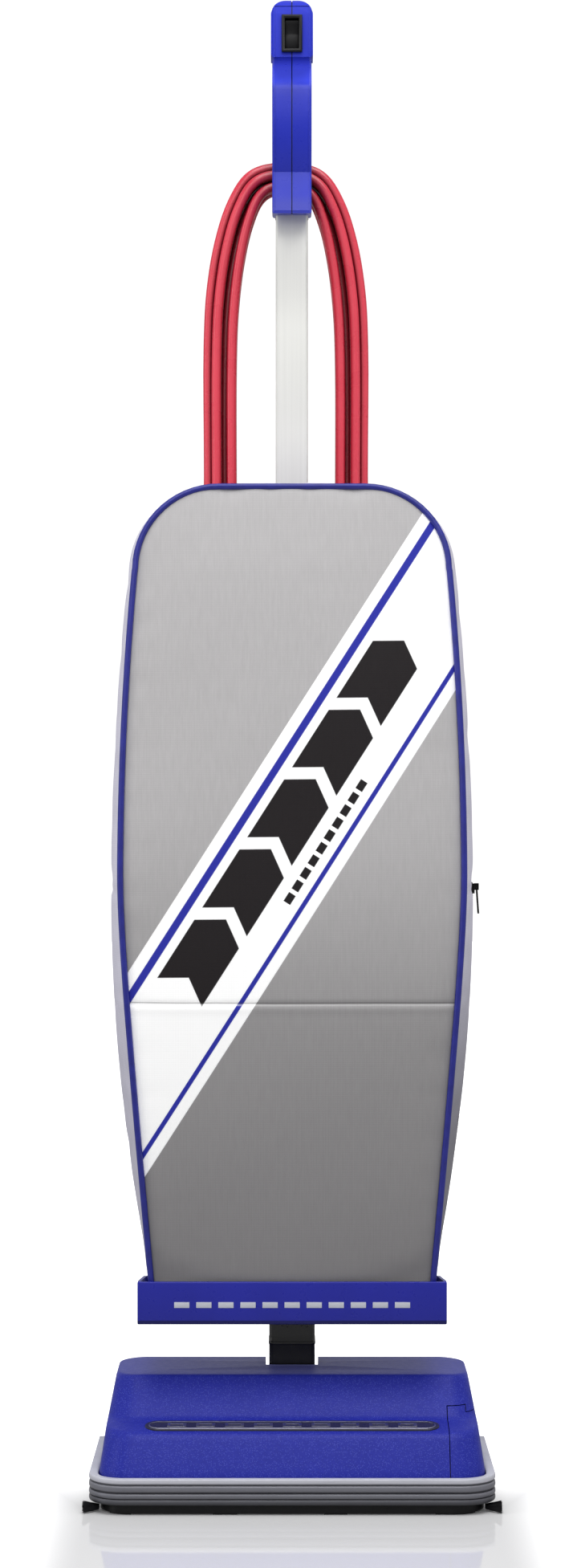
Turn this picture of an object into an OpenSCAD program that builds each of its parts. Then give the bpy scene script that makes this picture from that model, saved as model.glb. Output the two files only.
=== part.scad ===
// Upright vacuum cleaner for commercial use.
// The head rolls on two rear wheels and holds the motor, the fan and the brush
// roll. The handle reclines on a hollow pivot and carries the dust bag, the
// wound cord and the switch. Sizes are in millimetres. The front is -Y, the
// user's right is +X, the floor is z = 0 and the origin is under the head.

/* [Head] */
// Width over the bumper
bumper_w = 320; // [318:1:324]
// Distance from the origin to the front face of the bumper
bumper_front = 115; // [114.5:0.5:118]
// Height of the bumper band
bumper_h = 20.4; // [18:0.2:21]
// Height of the flat deck above the floor
deck_z = 94; // [92:1:98]
// Thickness of the hood's moulded wall
hood_wall = 2.5; // [2:0.1:3]

/* [Suction and brush] */
// Radius of the motor casing
motor_r = 34; // [33:0.5:34]
// Radius of the fan wheel
fan_r = 33; // [28:1:34]
// Radius of the wooden brush core
brush_core_r = 15; // [14.8:0.1:15.2]
// Reach of the bristles from the brush axis
bristle_reach = 21.5; // [20:0.5:21.5]
// Number of tufts in each bristle row
tuft_count = 25; // [21:1:25]
// Radius of the rear wheels
wheel_r = 22; // [20:1:23]

/* [Handle] */
// Width of the handle tube, side to side
tube_w = 27; // [26:0.5:28]
// Depth of the handle tube, front to back
tube_d = 17; // [16:0.5:17]
// Width of the two grip halves together
grip_w = 32.8; // [32:0.4:34]

/* [Bag] */
// Radius of the zip's arc, seen from the front
zip_arc_r = 1620; // [1600:10:1640]
// Height of the bag's top edge
bag_top = 814; // [810:1:816]
// Radius of the bag's top corners
bag_corner_r = 70; // [66:1:74]
// Radius of the cord piping
piping_r = 2.3; // [2:0.1:2.5]

/* [Cord] */
// Radius of the mains cord
cord_r = 4.3; // [3.5:0.1:4.3]
// Sideways offset of the wound cord
cord_x = -5; // [-6:1:-4]

/* [Hidden] */
$fn = 64;
gap = 0.05;              // running and seating clearance
fit = 0.2;               // clearance of loose covers
far = 400;               // reach of cutting blocks

// Pivot of the handle
pivot_y = 26;
pivot_z = 62;
neck_hx = 18.7;
neck_y0 = 8;
neck_y1 = 44;
drum_r = 19;
drum_hx = 20.5;
slot_hx = 21.65;
spigot_r = 14;
pin_r = 8;
ear_x0 = 25;
ear_x1 = 29;

// Motor shaft
shaft_y = -12;
shaft_z = 50;
shaft_r = 4;

// Brush roll
brush_y = -78;
brush_z = 22.5;
pulley_x0 = 128.5;
pulley_x1 = 137.5;
pulley_r = 5.5;
groove_r = 13;
bearing_x = 143.5;

// Wheels
wheel_y = 82;
wheel_x = 128;
wheel_hw = 8;            // half width of a wheel

// Head levels
sole_z0 = 4.8;
sole_z1 = 7.8;
pan_z0 = 8;
pan_z1 = 11;
bumper_hx = bumper_w / 2;
bumper_thick = 7.3;
hood_hx = bumper_hx - bumper_thick - fit;
hood_front = -bumper_front + bumper_thick + fit;
hood_rear = 100;

// Tray and tube
tray_hx = 123.5;
tray_y0 = -55;
tray_y1 = 62;
tray_z0 = 139;
tray_z1 = 173;
tray_rear_z = 160;        // height of the tray's rear wall
tray_wall = 2.5;
tube_y = 78;
tube_wall = 1.5;
tube_top = 1084;
tube_back = tube_y + tube_d / 2;
dock_z = 186;

// Grip and switch
grip_hx = grip_w / 2;
grip_z0 = 1044;
grip_wall = 3;
foot_rise = 4;           // rise of the grip's lower end towards the back
face_low = [41, 1171];
face_high = [47.4, 1209];
face_tilt = atan2(face_high[0] - face_low[0], face_high[1] - face_low[1]);
switch_y = 44.4;
switch_z = 1191.3;
rocker_rest = 8;
arch_z = 1206.5;         // centre of the head's round top
arch_r = 17.7;

// Zip arc, seen from the front
zip_z = 490;
zip_x = 145.8;
zip_sweep = 10.3;

// ---------------------------------------------------------------- helpers

module block(low, high) {
    translate(low) cube(high - low);
}

module rod_x(x0, x1, y, z, r) {
    translate([x0, y, z]) rotate([0, 90, 0]) cylinder(h = x1 - x0, r = r);
}

module rod_y(y0, y1, x, z, r) {
    translate([x, y1, z]) rotate([90, 0, 0]) cylinder(h = y1 - y0, r = r);
}

module ring_x(x0, x1, y, z, r_out, r_in) {
    difference() {
        rod_x(x0, x1, y, z, r_out);
        rod_x(x0 - 1, x1 + 1, y, z, r_in);
    }
}

// Extrudes an outline drawn as (y, z) from x0 to x1.
module extrude_x(x0, x1) {
    translate([x0, 0, 0]) rotate([90, 0, 90]) linear_extrude(x1 - x0) children();
}

module round_rect(w, d, r) {
    square([w - 2 * r, d], center = true);
    square([w, d - 2 * r], center = true);
    for (x = [-1, 1], y = [-1, 1])
        translate([x * (w / 2 - r), y * (d / 2 - r)]) circle(r);
}

// Rounded plate between y0 and y1, half-width hx, from z0 to z1.
module plate(hx, y0, y1, z0, z1, r) {
    translate([0, (y0 + y1) / 2, z0])
        linear_extrude(z1 - z0) round_rect(2 * hx, y1 - y0, r);
}

module thin_slab(hx, y0, y1, z, r) {
    plate(hx, y0, y1, z, z + 0.01, r, $fn = 32);
}

function unit(v) = v / norm(v);
function mix(a, b, t) = a * (1 - t) + b * t;
function ease(t) = t * t * (3 - 2 * t);

// Centre of the circle through three points of a plane.
function centre3(a, b, c) =
    let (
        d = 2 * (a[0] * (b[1] - c[1]) + b[0] * (c[1] - a[1]) + c[0] * (a[1] - b[1])),
        qa = a * a,
        qb = b * b,
        qc = c * c
    )
    [
        (qa * (b[1] - c[1]) + qb * (c[1] - a[1]) + qc * (a[1] - b[1])) / d,
        (qa * (c[0] - b[0]) + qb * (a[0] - c[0]) + qc * (b[0] - a[0])) / d
    ];

// Points of the arc from a over b to c, both ends included.
function arc3(a, b, c, n = 8) =
    let (
        m = centre3(a, b, c),
        r = norm(a - m),
        t0 = atan2(a[1] - m[1], a[0] - m[0]),
        t1 = atan2(c[1] - m[1], c[0] - m[0]),
        turn = (b - a)[0] * (c - b)[1] - (b - a)[1] * (c - b)[0],
        span = turn > 0 ? (t1 - t0 + 720) % 360 : -((t0 - t1 + 720) % 360)
    )
    [for (i = [0:n]) m + r * [cos(t0 + span * i / n), sin(t0 + span * i / n)]];

// Ring of n points around p, square to the direction t.
function ring_at(p, t, r, n) =
    let (
        ref = abs(t[1]) > 0.9 ? [1, 0, 0] : [0, 1, 0],
        u = unit(cross(t, ref)),
        v = cross(u, t)
    )
    [for (i = [0:n - 1]) p + r * (cos(360 * i / n) * u + sin(360 * i / n) * v)];

// Faces that join m rings of n points, with both ends closed.
function skin_faces(m, n) = concat(
    [[for (i = [n - 1:-1:0]) i]],
    [for (j = [0:m - 2], i = [0:n - 1]) [j * n + i, j * n + (i + 1) % n, (j + 1) * n + i]],
    [for (j = [0:m - 2], i = [0:n - 1])
        [j * n + (i + 1) % n, (j + 1) * n + (i + 1) % n, (j + 1) * n + i]],
    [[for (i = [0:n - 1]) (m - 1) * n + i]]
);

// Round rod along a path of points.
module sweep(path, r, n = 8) {
    last = len(path) - 1;
    rings = [for (j = [0:last])
        ring_at(path[j], unit(path[min(j + 1, last)] - path[max(j - 1, 0)]), r, n)];
    polyhedron([for (ring = rings) for (p = ring) p], skin_faces(last + 1, n), convexity = 8);
}

// Solid through rings that run anticlockwise seen from above, from low to high.
module loft(rings) {
    n = len(rings[0]);
    flipped = [for (f = skin_faces(len(rings), n)) [for (k = [len(f) - 1:-1:0]) f[k]]];
    polyhedron([for (ring = rings) for (p = ring) p], flipped, convexity = 8);
}

// ---------------------------------------------------------------- head shells

// Outer form of the hood, pulled in by inset on every side but the bottom.
module hood_form(inset) {
    drop = inset > 0 ? 0.5 : 0;
    hull() {
        thin_slab(hood_hx - inset, hood_front + inset, hood_rear - inset,
            sole_z1 + 0.4 - drop, 25 - inset);
        thin_slab(hood_hx - inset, hood_front + inset, hood_rear - inset, 27, 25 - inset);
        thin_slab(hood_hx - 4.7 - inset, -90 + inset, 98 - inset, 60 - inset, 25 - inset);
        thin_slab(hood_hx - 5.1 - inset, -60 + inset, 97 - inset, 64 - inset, 25 - inset);
    }
    hull() {
        thin_slab(hood_hx - 5.1 - inset, -57 + inset, 97 - inset, 63 - inset, 20 - inset);
        thin_slab(hood_hx - 10.5 - inset, -30 + inset, 53 - inset, deck_z - inset, 20 - inset);
    }
}

// Part of the hood that comes off to reach the belt.
module belt_region(grow) {
    block([124 - grow, -far, 0], [139 + grow, -20 + grow, 73 + grow]);
    block([138, -far, 0], [far, -20 + grow, 68 + grow]);
}

module hood_shell() {
    difference() {
        hood_form(0);
        hood_form(hood_wall);
    }
}

module hood() {
    slot_wall = 2.35;
    color("#2c2c96") difference() {
        union() {
            hood_shell();
            intersection() {
                hood_form(0.05);
                block([-slot_hx - slot_wall, 3.5, 12], [slot_hx + slot_wall, far, far]);
            }
        }
        block([-slot_hx, 6, 0], [slot_hx, far, far]);
        for (s = [-1, 1]) {
            wall_x = s * (slot_hx + 1.2);
            rod_x(wall_x - 3, wall_x + 3, pivot_y, pivot_z, 15);
            block([wall_x - 3, pivot_y - 15, 0], [wall_x + 3, pivot_y + 15, pivot_z]);
            rod_x(s * wheel_x - 11.5, s * wheel_x + 11.5, wheel_y, wheel_r, wheel_r + 3);
        }
        belt_region(0.3);
    }
}

module belt_cover() {
    color("#2c2c96") intersection() {
        hood_shell();
        belt_region(0);
    }
}

module bumper_outline(inset) {
    hx = bumper_hx - inset;
    y0 = -bumper_front + inset;
    translate([0, (y0 + 120) / 2]) round_rect(2 * hx, 120 - y0, 28 - inset);
}

module bumper() {
    groove_d = 1.4;
    groove_h = 1.4;
    color("#a9a9ad") difference() {
        translate([0, 0, pan_z0]) linear_extrude(bumper_h) bumper_outline(0);
        linear_extrude(far) bumper_outline(bumper_thick);
        block([-far, 55, 0], [far, far, far]);
        for (k = [1:3])
            translate([0, 0, pan_z0 + bumper_h * k / 4 - groove_h / 2])
                linear_extrude(groove_h) difference() {
                    bumper_outline(-5);
                    bumper_outline(groove_d);
                }
    }
}

module hood_badge() {
    color("#50505a") translate([0, -75, 62]) rotate([atan(4 / 30), 0, 0])
        translate([0, 0, 0.1]) linear_extrude(1.2) round_rect(233, 22, 10.9);
}

// ---------------------------------------------------------------- sole and chassis

sole_screw_at = [[-95, -42], [95, -42], [-95, 40], [95, 40]];

module sole_plate() {
    sole_hx = 151;
    sole_y0 = -110;
    sole_y1 = 96;
    color("#18181a") difference() {
        union() {
            plate(sole_hx, sole_y0, sole_y1, sole_z0, sole_z1, 25);
            intersection() {
                difference() {
                    plate(sole_hx, sole_y0, sole_y1, 1, sole_z0, 25);
                    plate(sole_hx - 6, sole_y0 + 6, sole_y1 - 6, 0, sole_z0, 19);
                }
                block([-far, -far, 0], [far, -60, 10]);
            }
            for (x = [[-143, -126], [-62, -43], [25, 43], [112, 143]])
                intersection() {
                    plate(sole_hx, sole_y0, sole_y1, 0, sole_z0, 25);
                    block([x[0], sole_y0, 0], [x[1], sole_y0 + 8, sole_z0]);
                }
            block([-10, -10, 0], [10, 10, sole_z0]);
        }
        block([-140.5, -101, 0], [140.5, -55, 20]);
        for (s = [-1, 1])
            block([s * wheel_x - 12, 57, 0], [s * wheel_x + 12, 120, 20]);
        for (p = sole_screw_at) translate([p[0], p[1], 0]) {
            cylinder(h = 20, r = 2.2);
            cylinder(h = sole_z0 + 1.4, r = 4.3);
        }
        for (x = [-90, -30, 30, 90])
            rod_y(-107, -49, x, 5.9, 1.05);
    }
}

module sole_screws() {
    color("#77777c") for (p = sole_screw_at) translate([p[0], p[1], 0]) {
        translate([0, 0, sole_z0 + 0.1]) difference() {
            cylinder(h = 1.2, r = 4);
            translate([-3, -0.4, -0.1]) cube([6, 0.8, 0.7]);
        }
        translate([0, 0, sole_z0 + 1.3]) cylinder(h = 12, r = 2);
    }
}

module chassis() {
    color("#3a3a40") difference() {
        union() {
            plate(146, -52, 94, pan_z0, pan_z1, 18);
            // wall behind the brush chamber
            block([-143, -53, pan_z0], [143, -50, 58]);
            // ears that carry the handle's pivot
            for (s = [-1, 1]) {
                x0 = s > 0 ? ear_x0 : -ear_x1;
                x1 = s > 0 ? ear_x1 : -ear_x0;
                rod_x(x0, x1, pivot_y, pivot_z, 18.5);
                block([x0, pivot_y - 18.5, pan_z0], [x1, pivot_y + 18.5, pivot_z]);
            }
            // floor under the neck
            block([-21, 8, 33], [21, 90, 36]);
            block([-21, 8, pan_z0], [21, 10.5, 34]);
            block([-21, 87.5, pan_z0], [21, 90, 34]);
            // saddles under the motor and the fan
            for (x = [-113, -53]) block([x, -50.5, pan_z0], [x + 6, 26, 38]);
            block([47, -50.5, pan_z0], [53, 26, 38]);
            // shaft ear beside the belt
            block([116, -22, pan_z0], [121, -2, 50]);
            rod_x(116, 121, shaft_y, shaft_z, 12);
            // wheel ears and screw bosses
            for (s = [-1, 1])
                block([s * 113 - 2, 72, pan_z0], [s * 113 + 2, 92, 33]);
            for (p = sole_screw_at) translate([p[0], p[1], pan_z0]) cylinder(h = 14, r = 5);
        }
        rod_x(ear_x0 - 1, ear_x1 + 1, pivot_y, pivot_z, spigot_r + gap);
        rod_x(-ear_x1 - 1, -ear_x0 + 1, pivot_y, pivot_z, pin_r + gap);
        for (x = [-113, -53]) rod_x(x - 1, x + 7, shaft_y, shaft_z, motor_r + 3);
        rod_x(46, 54, shaft_y, shaft_z, fan_r + 4 + gap);
        rod_x(115, 122, shaft_y, shaft_z, 9 + gap);
        for (s = [-1, 1]) {
            rod_x(s * 113 - 3, s * 113 + 3, wheel_y, wheel_r, shaft_r + gap);
            block([s * wheel_x - 12, 57, 0], [s * wheel_x + 12, 120, 60]);
        }
        // ways through the wall for the air and for the belt
        block([68, -54, 32], [82, -49, 56]);
        block([125, -54, 14], [140, -49, far]);
        for (p = sole_screw_at) translate([p[0], p[1], 0]) cylinder(h = 30, r = 2 + gap);
    }
}

module guard_wires() {
    color("#b0b0b4") for (x = [-90, -30, 30, 90]) rod_y(-106, -50, x, 5.9, 1);
}

module edge_brushes() {
    color("#1d1d1f") for (s = [-1, 1])
        hull() {
            block([s * 152.3 - 1, -98, 1], [s * 152.3 + 1, -90, 4.6]);
            block([s * 163.6 - 1, -109, 0.6], [s * 163.6 + 1, -101, 9.4]);
        }
}

module wheel_axles() {
    color("#8f8f94") for (s = [-1, 1]) {
        inner = s * 108;
        outer = s * 139;
        rod_x(min(inner, outer), max(inner, outer), wheel_y, wheel_r, shaft_r);
        rod_x(min(outer, s * 137.2), max(outer, s * 137.2), wheel_y, wheel_r, 7);
    }
}

module wheel_hub(s) {
    color("#6d6d72") difference() {
        union() {
            ring_x(s * wheel_x - wheel_hw, s * wheel_x + wheel_hw, wheel_y, wheel_r, 8, shaft_r + gap);
            ring_x(s * wheel_x - 3, s * wheel_x + 3, wheel_y, wheel_r, 15, 7);
            ring_x(s * wheel_x - 7, s * wheel_x + 7, wheel_y, wheel_r, wheel_r - 5.1, 14);
        }
        for (a = [0:60:300]) translate([0, wheel_y, wheel_r]) rotate([a, 0, 0])
            rod_x(s * wheel_x - 4, s * wheel_x + 4, 0, 11, 1.8);
    }
}

module tyre(s) {
    color("#202022") difference() {
        ring_x(s * wheel_x - wheel_hw, s * wheel_x + wheel_hw, wheel_y, wheel_r, wheel_r, wheel_r - 5);
        for (k = [-1, 1])
            ring_x(s * wheel_x + k * 4 - 0.6, s * wheel_x + k * 4 + 0.6, wheel_y, wheel_r,
                wheel_r + 1, wheel_r - 1);
    }
}

module left_wheel_hub() { wheel_hub(-1); }
module left_tyre() { tyre(-1); }
module right_wheel_hub() { wheel_hub(1); }
module right_tyre() { tyre(1); }

// ---------------------------------------------------------------- motor and fan

can_x0 = -122;
can_x1 = -38;

module motor_can() {
    color("#9a9a9e") difference() {
        rod_x(can_x0, can_x1, shaft_y, shaft_z, motor_r);
        rod_x(can_x0 - 1, can_x1 - 2, shaft_y, shaft_z, motor_r - 2);
        rod_x(can_x1 - 3, can_x1 + 1, shaft_y, shaft_z, 9 + gap);
        for (a = [0:45:315]) translate([0, shaft_y, shaft_z]) rotate([a, 0, 0])
            rod_x(can_x1 - 3, can_x1 + 1, 0, 21, 3.5);
    }
}

module motor_end_bell() {
    color("#8a8a90") difference() {
        union() {
            rod_x(can_x0 - 3, can_x0, shaft_y, shaft_z, motor_r);
            rod_x(can_x0 - 6, can_x0, shaft_y, shaft_z, 13);
        }
        rod_x(can_x0 - 7, can_x0 + 1, shaft_y, shaft_z, 9 + gap);
        for (a = [0:60:300]) translate([0, shaft_y, shaft_z]) rotate([a, 0, 0])
            rod_x(can_x0 - 4, can_x0 + 1, 0, 23, 4);
    }
}

module field_stack() {
    color("#7d7f86") ring_x(-108, -62, shaft_y, shaft_z, motor_r - 2.1, 22);
}

module carbon_brushes() {
    color("#3b3b3d") for (s = [-1, 1])
        intersection() {
            block([-59, shaft_y - 3, shaft_z + (s > 0 ? 0 : -motor_r)],
                [-51, shaft_y + 3, shaft_z + (s > 0 ? motor_r : 0)]);
            ring_x(-60, -50, shaft_y, shaft_z, motor_r - 2.1, 11.2);
        }
}

module motor_bearings() {
    color("#c8c8cc") for (x = [can_x0 - 5.5, can_x1 - 2.5, 116])
        ring_x(x, x + 5, shaft_y, shaft_z, 9, shaft_r + gap);
}

module motor_mounts() {
    color("#28282a") for (x = [-113, -53])
        ring_x(x, x + 6, shaft_y, shaft_z, motor_r + 3 - gap, motor_r + gap);
}

// Spiral casing of the fan, joined to the chamber behind the spigot.
module volute(inset) {
    translate([shaft_y, shaft_z]) circle(fan_r + 4 - inset);
    translate([pivot_y, pivot_z]) circle(spigot_r + 2.5 - inset);
}

module fan_housing() {
    wall = 2;
    color("#45454b") difference() {
        extrude_x(34, 66) volute(0);
        extrude_x(34 + wall, 66 - wall) volute(wall);
        rod_x(33, 37, pivot_y, pivot_z, spigot_r - 2);
        rod_x(63, 67, shaft_y, shaft_z, 16);
        rod_x(33, 37, shaft_y, shaft_z, shaft_r + 0.6);
    }
}

module exhaust_spigot() {
    color("#5a5a62") difference() {
        union() {
            rod_x(8, 33.9, pivot_y, pivot_z, spigot_r);
            rod_x(31.5, 33.9, pivot_y, pivot_z, spigot_r + 2);
        }
        rod_x(7, 35, pivot_y, pivot_z, spigot_r - 2);
    }
}

module intake_duct() {
    profile = [[-49.8, 30], [4, 30], [4, 70], [-40, 70], [-49.8, 58]];
    color("#4d4d55") difference() {
        extrude_x(66.1, 84) polygon(profile);
        extrude_x(68.1, 82) polygon([[-60, 32], [2, 32], [2, 68], [-39, 68], [-60, 45]]);
        rod_x(65, 69, shaft_y, shaft_z, 16);
        rod_x(81, 85, shaft_y, shaft_z, shaft_r + 1);
    }
}

module pivot_pin() {
    color("#9c9ca2") {
        rod_x(-33, -14.5, pivot_y, pivot_z, pin_r);
        rod_x(-33, -29.2, pivot_y, pivot_z, pin_r + 3);
    }
}

module motor_shaft() {
    color("#c4c4c8") rod_x(-130, 142, shaft_y, shaft_z, shaft_r);
}

module armature() {
    slots = 12;
    color("#b06a3a") difference() {
        ring_x(-105, -65, shaft_y, shaft_z, 20, shaft_r + gap);
        for (k = [0:slots - 1])
            translate([0, shaft_y, shaft_z]) rotate([360 * k / slots, 0, 0])
                block([-106, -1, 14], [-64, 1, 21]);
    }
    color("#c98a4b") ring_x(-60, -50, shaft_y, shaft_z, 11, shaft_r + gap);
}

module fan_impeller() {
    blades = 9;
    color("#8d8d92") difference() {
        union() {
            rod_x(38, 40, shaft_y, shaft_z, fan_r);
            rod_x(38, 60, shaft_y, shaft_z, 9);
            for (k = [0:blades - 1])
                translate([0, shaft_y, shaft_z]) rotate([360 * k / blades, 0, 0])
                    translate([0, 0, 20]) rotate([25, 0, 0])
                        block([39, -0.9, -12], [58, 0.9, 12]);
        }
        rod_x(37, 61, shaft_y, shaft_z, shaft_r + gap);
    }
}

module motor_pulley() {
    color("#a8a8ac") ring_x(pulley_x0, pulley_x1, shaft_y, shaft_z, pulley_r, shaft_r + gap);
}

module brush_core() {
    color("#b98d58") {
        difference() {
            rod_x(-138, 139.5, brush_y, brush_z, brush_core_r);
            ring_x(128, 138, brush_y, brush_z, brush_core_r + 1, groove_r);
        }
        rod_x(-bearing_x - 2, -137, brush_y, brush_z, shaft_r);
        rod_x(139, bearing_x + 2, brush_y, brush_z, shaft_r);
    }
}

module brush_bristles() {
    pitch = 10;
    color("#1b1b1d") for (i = [0:tuft_count - 1], row = [0, 180])
        translate([(i - (tuft_count - 1) / 2) * pitch - 5, brush_y, brush_z])
            rotate([row + i * 14, 0, 0])
                translate([0, 0, brush_core_r + 0.1])
                    cylinder(h = bristle_reach - brush_core_r - 0.1, r = 1.8, $fn = 16);
}

module brush_bearings() {
    color("#3f3f45") for (s = [-1, 1]) difference() {
        block([s * bearing_x - 2.5, -88, pan_z0], [s * bearing_x + 2.5, -68, 30]);
        rod_x(s * bearing_x - 3, s * bearing_x + 3, brush_y, brush_z, shaft_r + gap);
    }
}

// Loop round both pulleys, offset outwards from them.
module belt_loop(offset_r) {
    hull() {
        translate([shaft_y, shaft_z]) circle(pulley_r + offset_r);
        translate([brush_y, brush_z]) circle(groove_r + offset_r);
    }
}

module drive_belt() {
    color("#232325") extrude_x(pulley_x0, pulley_x1) difference() {
        belt_loop(1.8);
        belt_loop(0.2);
    }
}

// ---------------------------------------------------------------- neck and tray

module swivel_neck() {
    cavity = 2.5;
    color("#1b1b1e") difference() {
        union() {
            rod_x(-drum_hx, drum_hx, pivot_y, pivot_z, drum_r);
            block([-neck_hx, neck_y0, pivot_z], [neck_hx, neck_y1, dock_z]);
            // flange under the tray and raised collar line
            block([-26, 2, tray_z0 - 3.2], [26, 50, tray_z0 - 0.2]);
            block([-neck_hx - 0.6, neck_y0 - 0.6, 112], [neck_hx + 0.6, neck_y1 + 0.6, 115]);
        }
        rod_x(-18, 18, pivot_y, pivot_z, drum_r - cavity);
        block([-neck_hx + cavity, neck_y0 + cavity, pivot_z],
            [neck_hx - cavity, neck_y1 - cavity, dock_z + 1]);
        rod_x(17, 21, pivot_y, pivot_z, spigot_r + gap);
        rod_x(-21, -17, pivot_y, pivot_z, pin_r + gap);
    }
}

module bag_tray() {
    corner = 3;
    color("#3034ae") difference() {
        block([-tray_hx, tray_y0, tray_z0], [tray_hx, tray_y1, tray_z1]);
        block([-tray_hx + tray_wall, tray_y0 + tray_wall, tray_z0 + 3],
            [tray_hx - tray_wall, tray_y1 - tray_wall, tray_z1 + 1]);
        block([-neck_hx - fit, neck_y0 - fit, tray_z0 - 1],
            [neck_hx + fit, neck_y1 + fit, tray_z0 + 4]);
        rod_y(tray_y1 - 4, tray_y1 + 1, 0, bolt_low_z, 2.6);
        // side walls that fall towards the back
        extrude_x(-far, far) polygon([
            [tray_y0 + 5, tray_z1], [tray_y1 + 1, tray_rear_z], [tray_y1 + 1, far], [tray_y0 + 5, far]
        ]);
        // rounded top corners of the front plate
        for (s = [-1, 1]) difference() {
            block([s * (tray_hx - corner / 2) - corner / 2, tray_y0 - 1, tray_z1 - corner],
                [s * (tray_hx - corner / 2) + corner / 2, tray_y0 + 6, tray_z1 + 1]);
            rod_y(tray_y0 - 2, tray_y0 + 7, s * (tray_hx - corner), tray_z1 - corner, corner);
        }
    }
}

module bag_dock() {
    color("#232326") difference() {
        block([-24, 2, dock_z - 4], [24, 50, dock_z]);
        block([-neck_hx - 0.15, neck_y0 - 0.15, dock_z - 5],
            [neck_hx + 0.15, neck_y1 + 0.15, dock_z + 1]);
    }
}

module bag_collar() {
    color("#b59a6a") difference() {
        block([-28, -2, dock_z + 0.2], [28, 54, dock_z + 3]);
        block([-16.2, 10.5, dock_z - 1], [16.2, 41.5, dock_z + 4]);
    }
}

bolt_low_z = 151;
bolt_high_z = 205;

module tube_socket() {
    y0 = tray_y1 + fit;
    y1 = 90.5;
    color("#232326") difference() {
        block([-18.5, y0, tray_z0], [18.5, y1, 225]);
        block([-tube_w / 2 - 0.1, tube_y - tube_d / 2 - 0.1, tray_z0 + 3],
            [tube_w / 2 + 0.1, tube_y + tube_d / 2 + 0.1, 226]);
        for (z = [bolt_low_z, bolt_high_z]) rod_y(y0 - 1, y1 + 1, 0, z, 2.6);
        rod_y(y0 - 1, y0 + 2.2, 0, bolt_high_z, 5.3);
    }
}

module socket_bolts() {
    color("#8e8e94") {
        rod_y(tray_y1 - 3.9, tray_y1 - 2.7, 0, bolt_low_z, 5);
        rod_y(tray_y1 - 2.7, 94.5, 0, bolt_low_z, 2.5);
        rod_y(tray_y1 + 0.7, tray_y1 + 2, 0, bolt_high_z, 5);
        rod_y(tray_y1 + 2, 94.5, 0, bolt_high_z, 2.5);
    }
    for (z = [bolt_low_z, bolt_high_z])
        color("#a0a0a6") rod_y(90.6, 94, 0, z, 4.5, $fn = 6);
}

module handle_tube() {
    corner = 2.5;
    color("#dcdcdc") difference() {
        translate([0, tube_y, tray_z0 + 3.2]) linear_extrude(tube_top - tray_z0 - 3.2)
            round_rect(tube_w, tube_d, corner, $fn = 32);
        translate([0, tube_y, tray_z0]) linear_extrude(tube_top)
            round_rect(tube_w - 2 * tube_wall, tube_d - 2 * tube_wall, corner - tube_wall,
                $fn = 32);
        for (z = [bolt_low_z, bolt_high_z]) rod_y(tube_y - 15, tube_y + 15, 0, z, 2.6);
        for (z = hook_bolt_z) rod_y(tube_y, tube_y + 15, 0, z, 2.1);
    }
}

// ---------------------------------------------------------------- bag

shoulder_hx = 129.3;     // half-width of the front panel where the top corners start

// Half-width of the front panel at height z.
function bag_hx(z) =
    z > bag_top - bag_corner_r
        ? shoulder_hx - bag_corner_r
            + sqrt(max(0, pow(bag_corner_r, 2) - pow(z - bag_top + bag_corner_r, 2)))
        : z > 503
            ? 139.4 - pow(z - 503, 2) / 5916
            : 139.4 - 0.084 * (sqrt(pow(503 - z, 2) + 2500) - 50);

// Front edge of the side panel at height z.
function bag_front(z) =
    z < 180 ? -46
        : z < 396 ? -70 + 24 * pow((396 - z) / 216, 1.6)
            : -70 + 62 * pow((z - 396) / 416, 1.5);

// Back of the bag at height z, which is shallower inside the tray.
function bag_back(z) = mix(57.3, 61, ease(min(1, max(0, (z - 176) / 20))));

// Middle of the side panel at height z: it follows the zip's arc up to its top.
function bag_side(z) =
    z < zip_z + 5
        ? zip_x - zip_arc_r + sqrt(pow(zip_arc_r, 2) - pow(z - zip_z, 2))
        : bag_hx(z) + mix(6.54, 3, min(1, (z - zip_z - 5) / 300));

bag_levels = [142.5, 173, 196, 225, 260, 300, 340, 380, 420, 460, 490, 530, 580, 630, 680,
    720, 750, 770, 785, bag_top - 15, bag_top - 6, bag_top - 1];

// One level of the bag as a ring, pulled in by inset.
function bag_ring(z, inset) =
    let (
        steps = 6,
        bulge = 5 * min(1, (bag_top - z) / 80),
        hx = bag_hx(z) - 1.5 - inset,
        sx = max(bag_side(z), bag_hx(z) - 1) - inset,
        y0 = bag_front(z) + inset,
        y1 = bag_back(z) - inset,
        side = [for (k = [1:2 * steps - 1])
            let (t = k / steps - 1)
            [hx + (sx - hx) * (1 - t * t), t < 0 ? -y0 * t : y1 * t, z]]
    )
    concat(
        [for (k = [0:steps]) let (s = 2 * k / steps - 1) [hx * s, y0 - bulge * (1 - s * s), z]],
        side,
        [[hx, y1, z], [-hx, y1, z]],
        [for (k = [len(side) - 1:-1:0]) [-side[k][0], side[k][1], z]]
    );

module outer_bag() {
    cloth = 2;
    top = bag_levels[len(bag_levels) - 1];
    inner = [for (k = [len(bag_levels) - 1:-1:0])
        let (z = bag_levels[k]) [for (p = bag_ring(z, cloth)) [p[0], p[1], min(z, top - cloth)]]];
    outer = [for (z = bag_levels) bag_ring(z, 0)];
    color("#aeacad") loft(concat(inner, outer));
}

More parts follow.
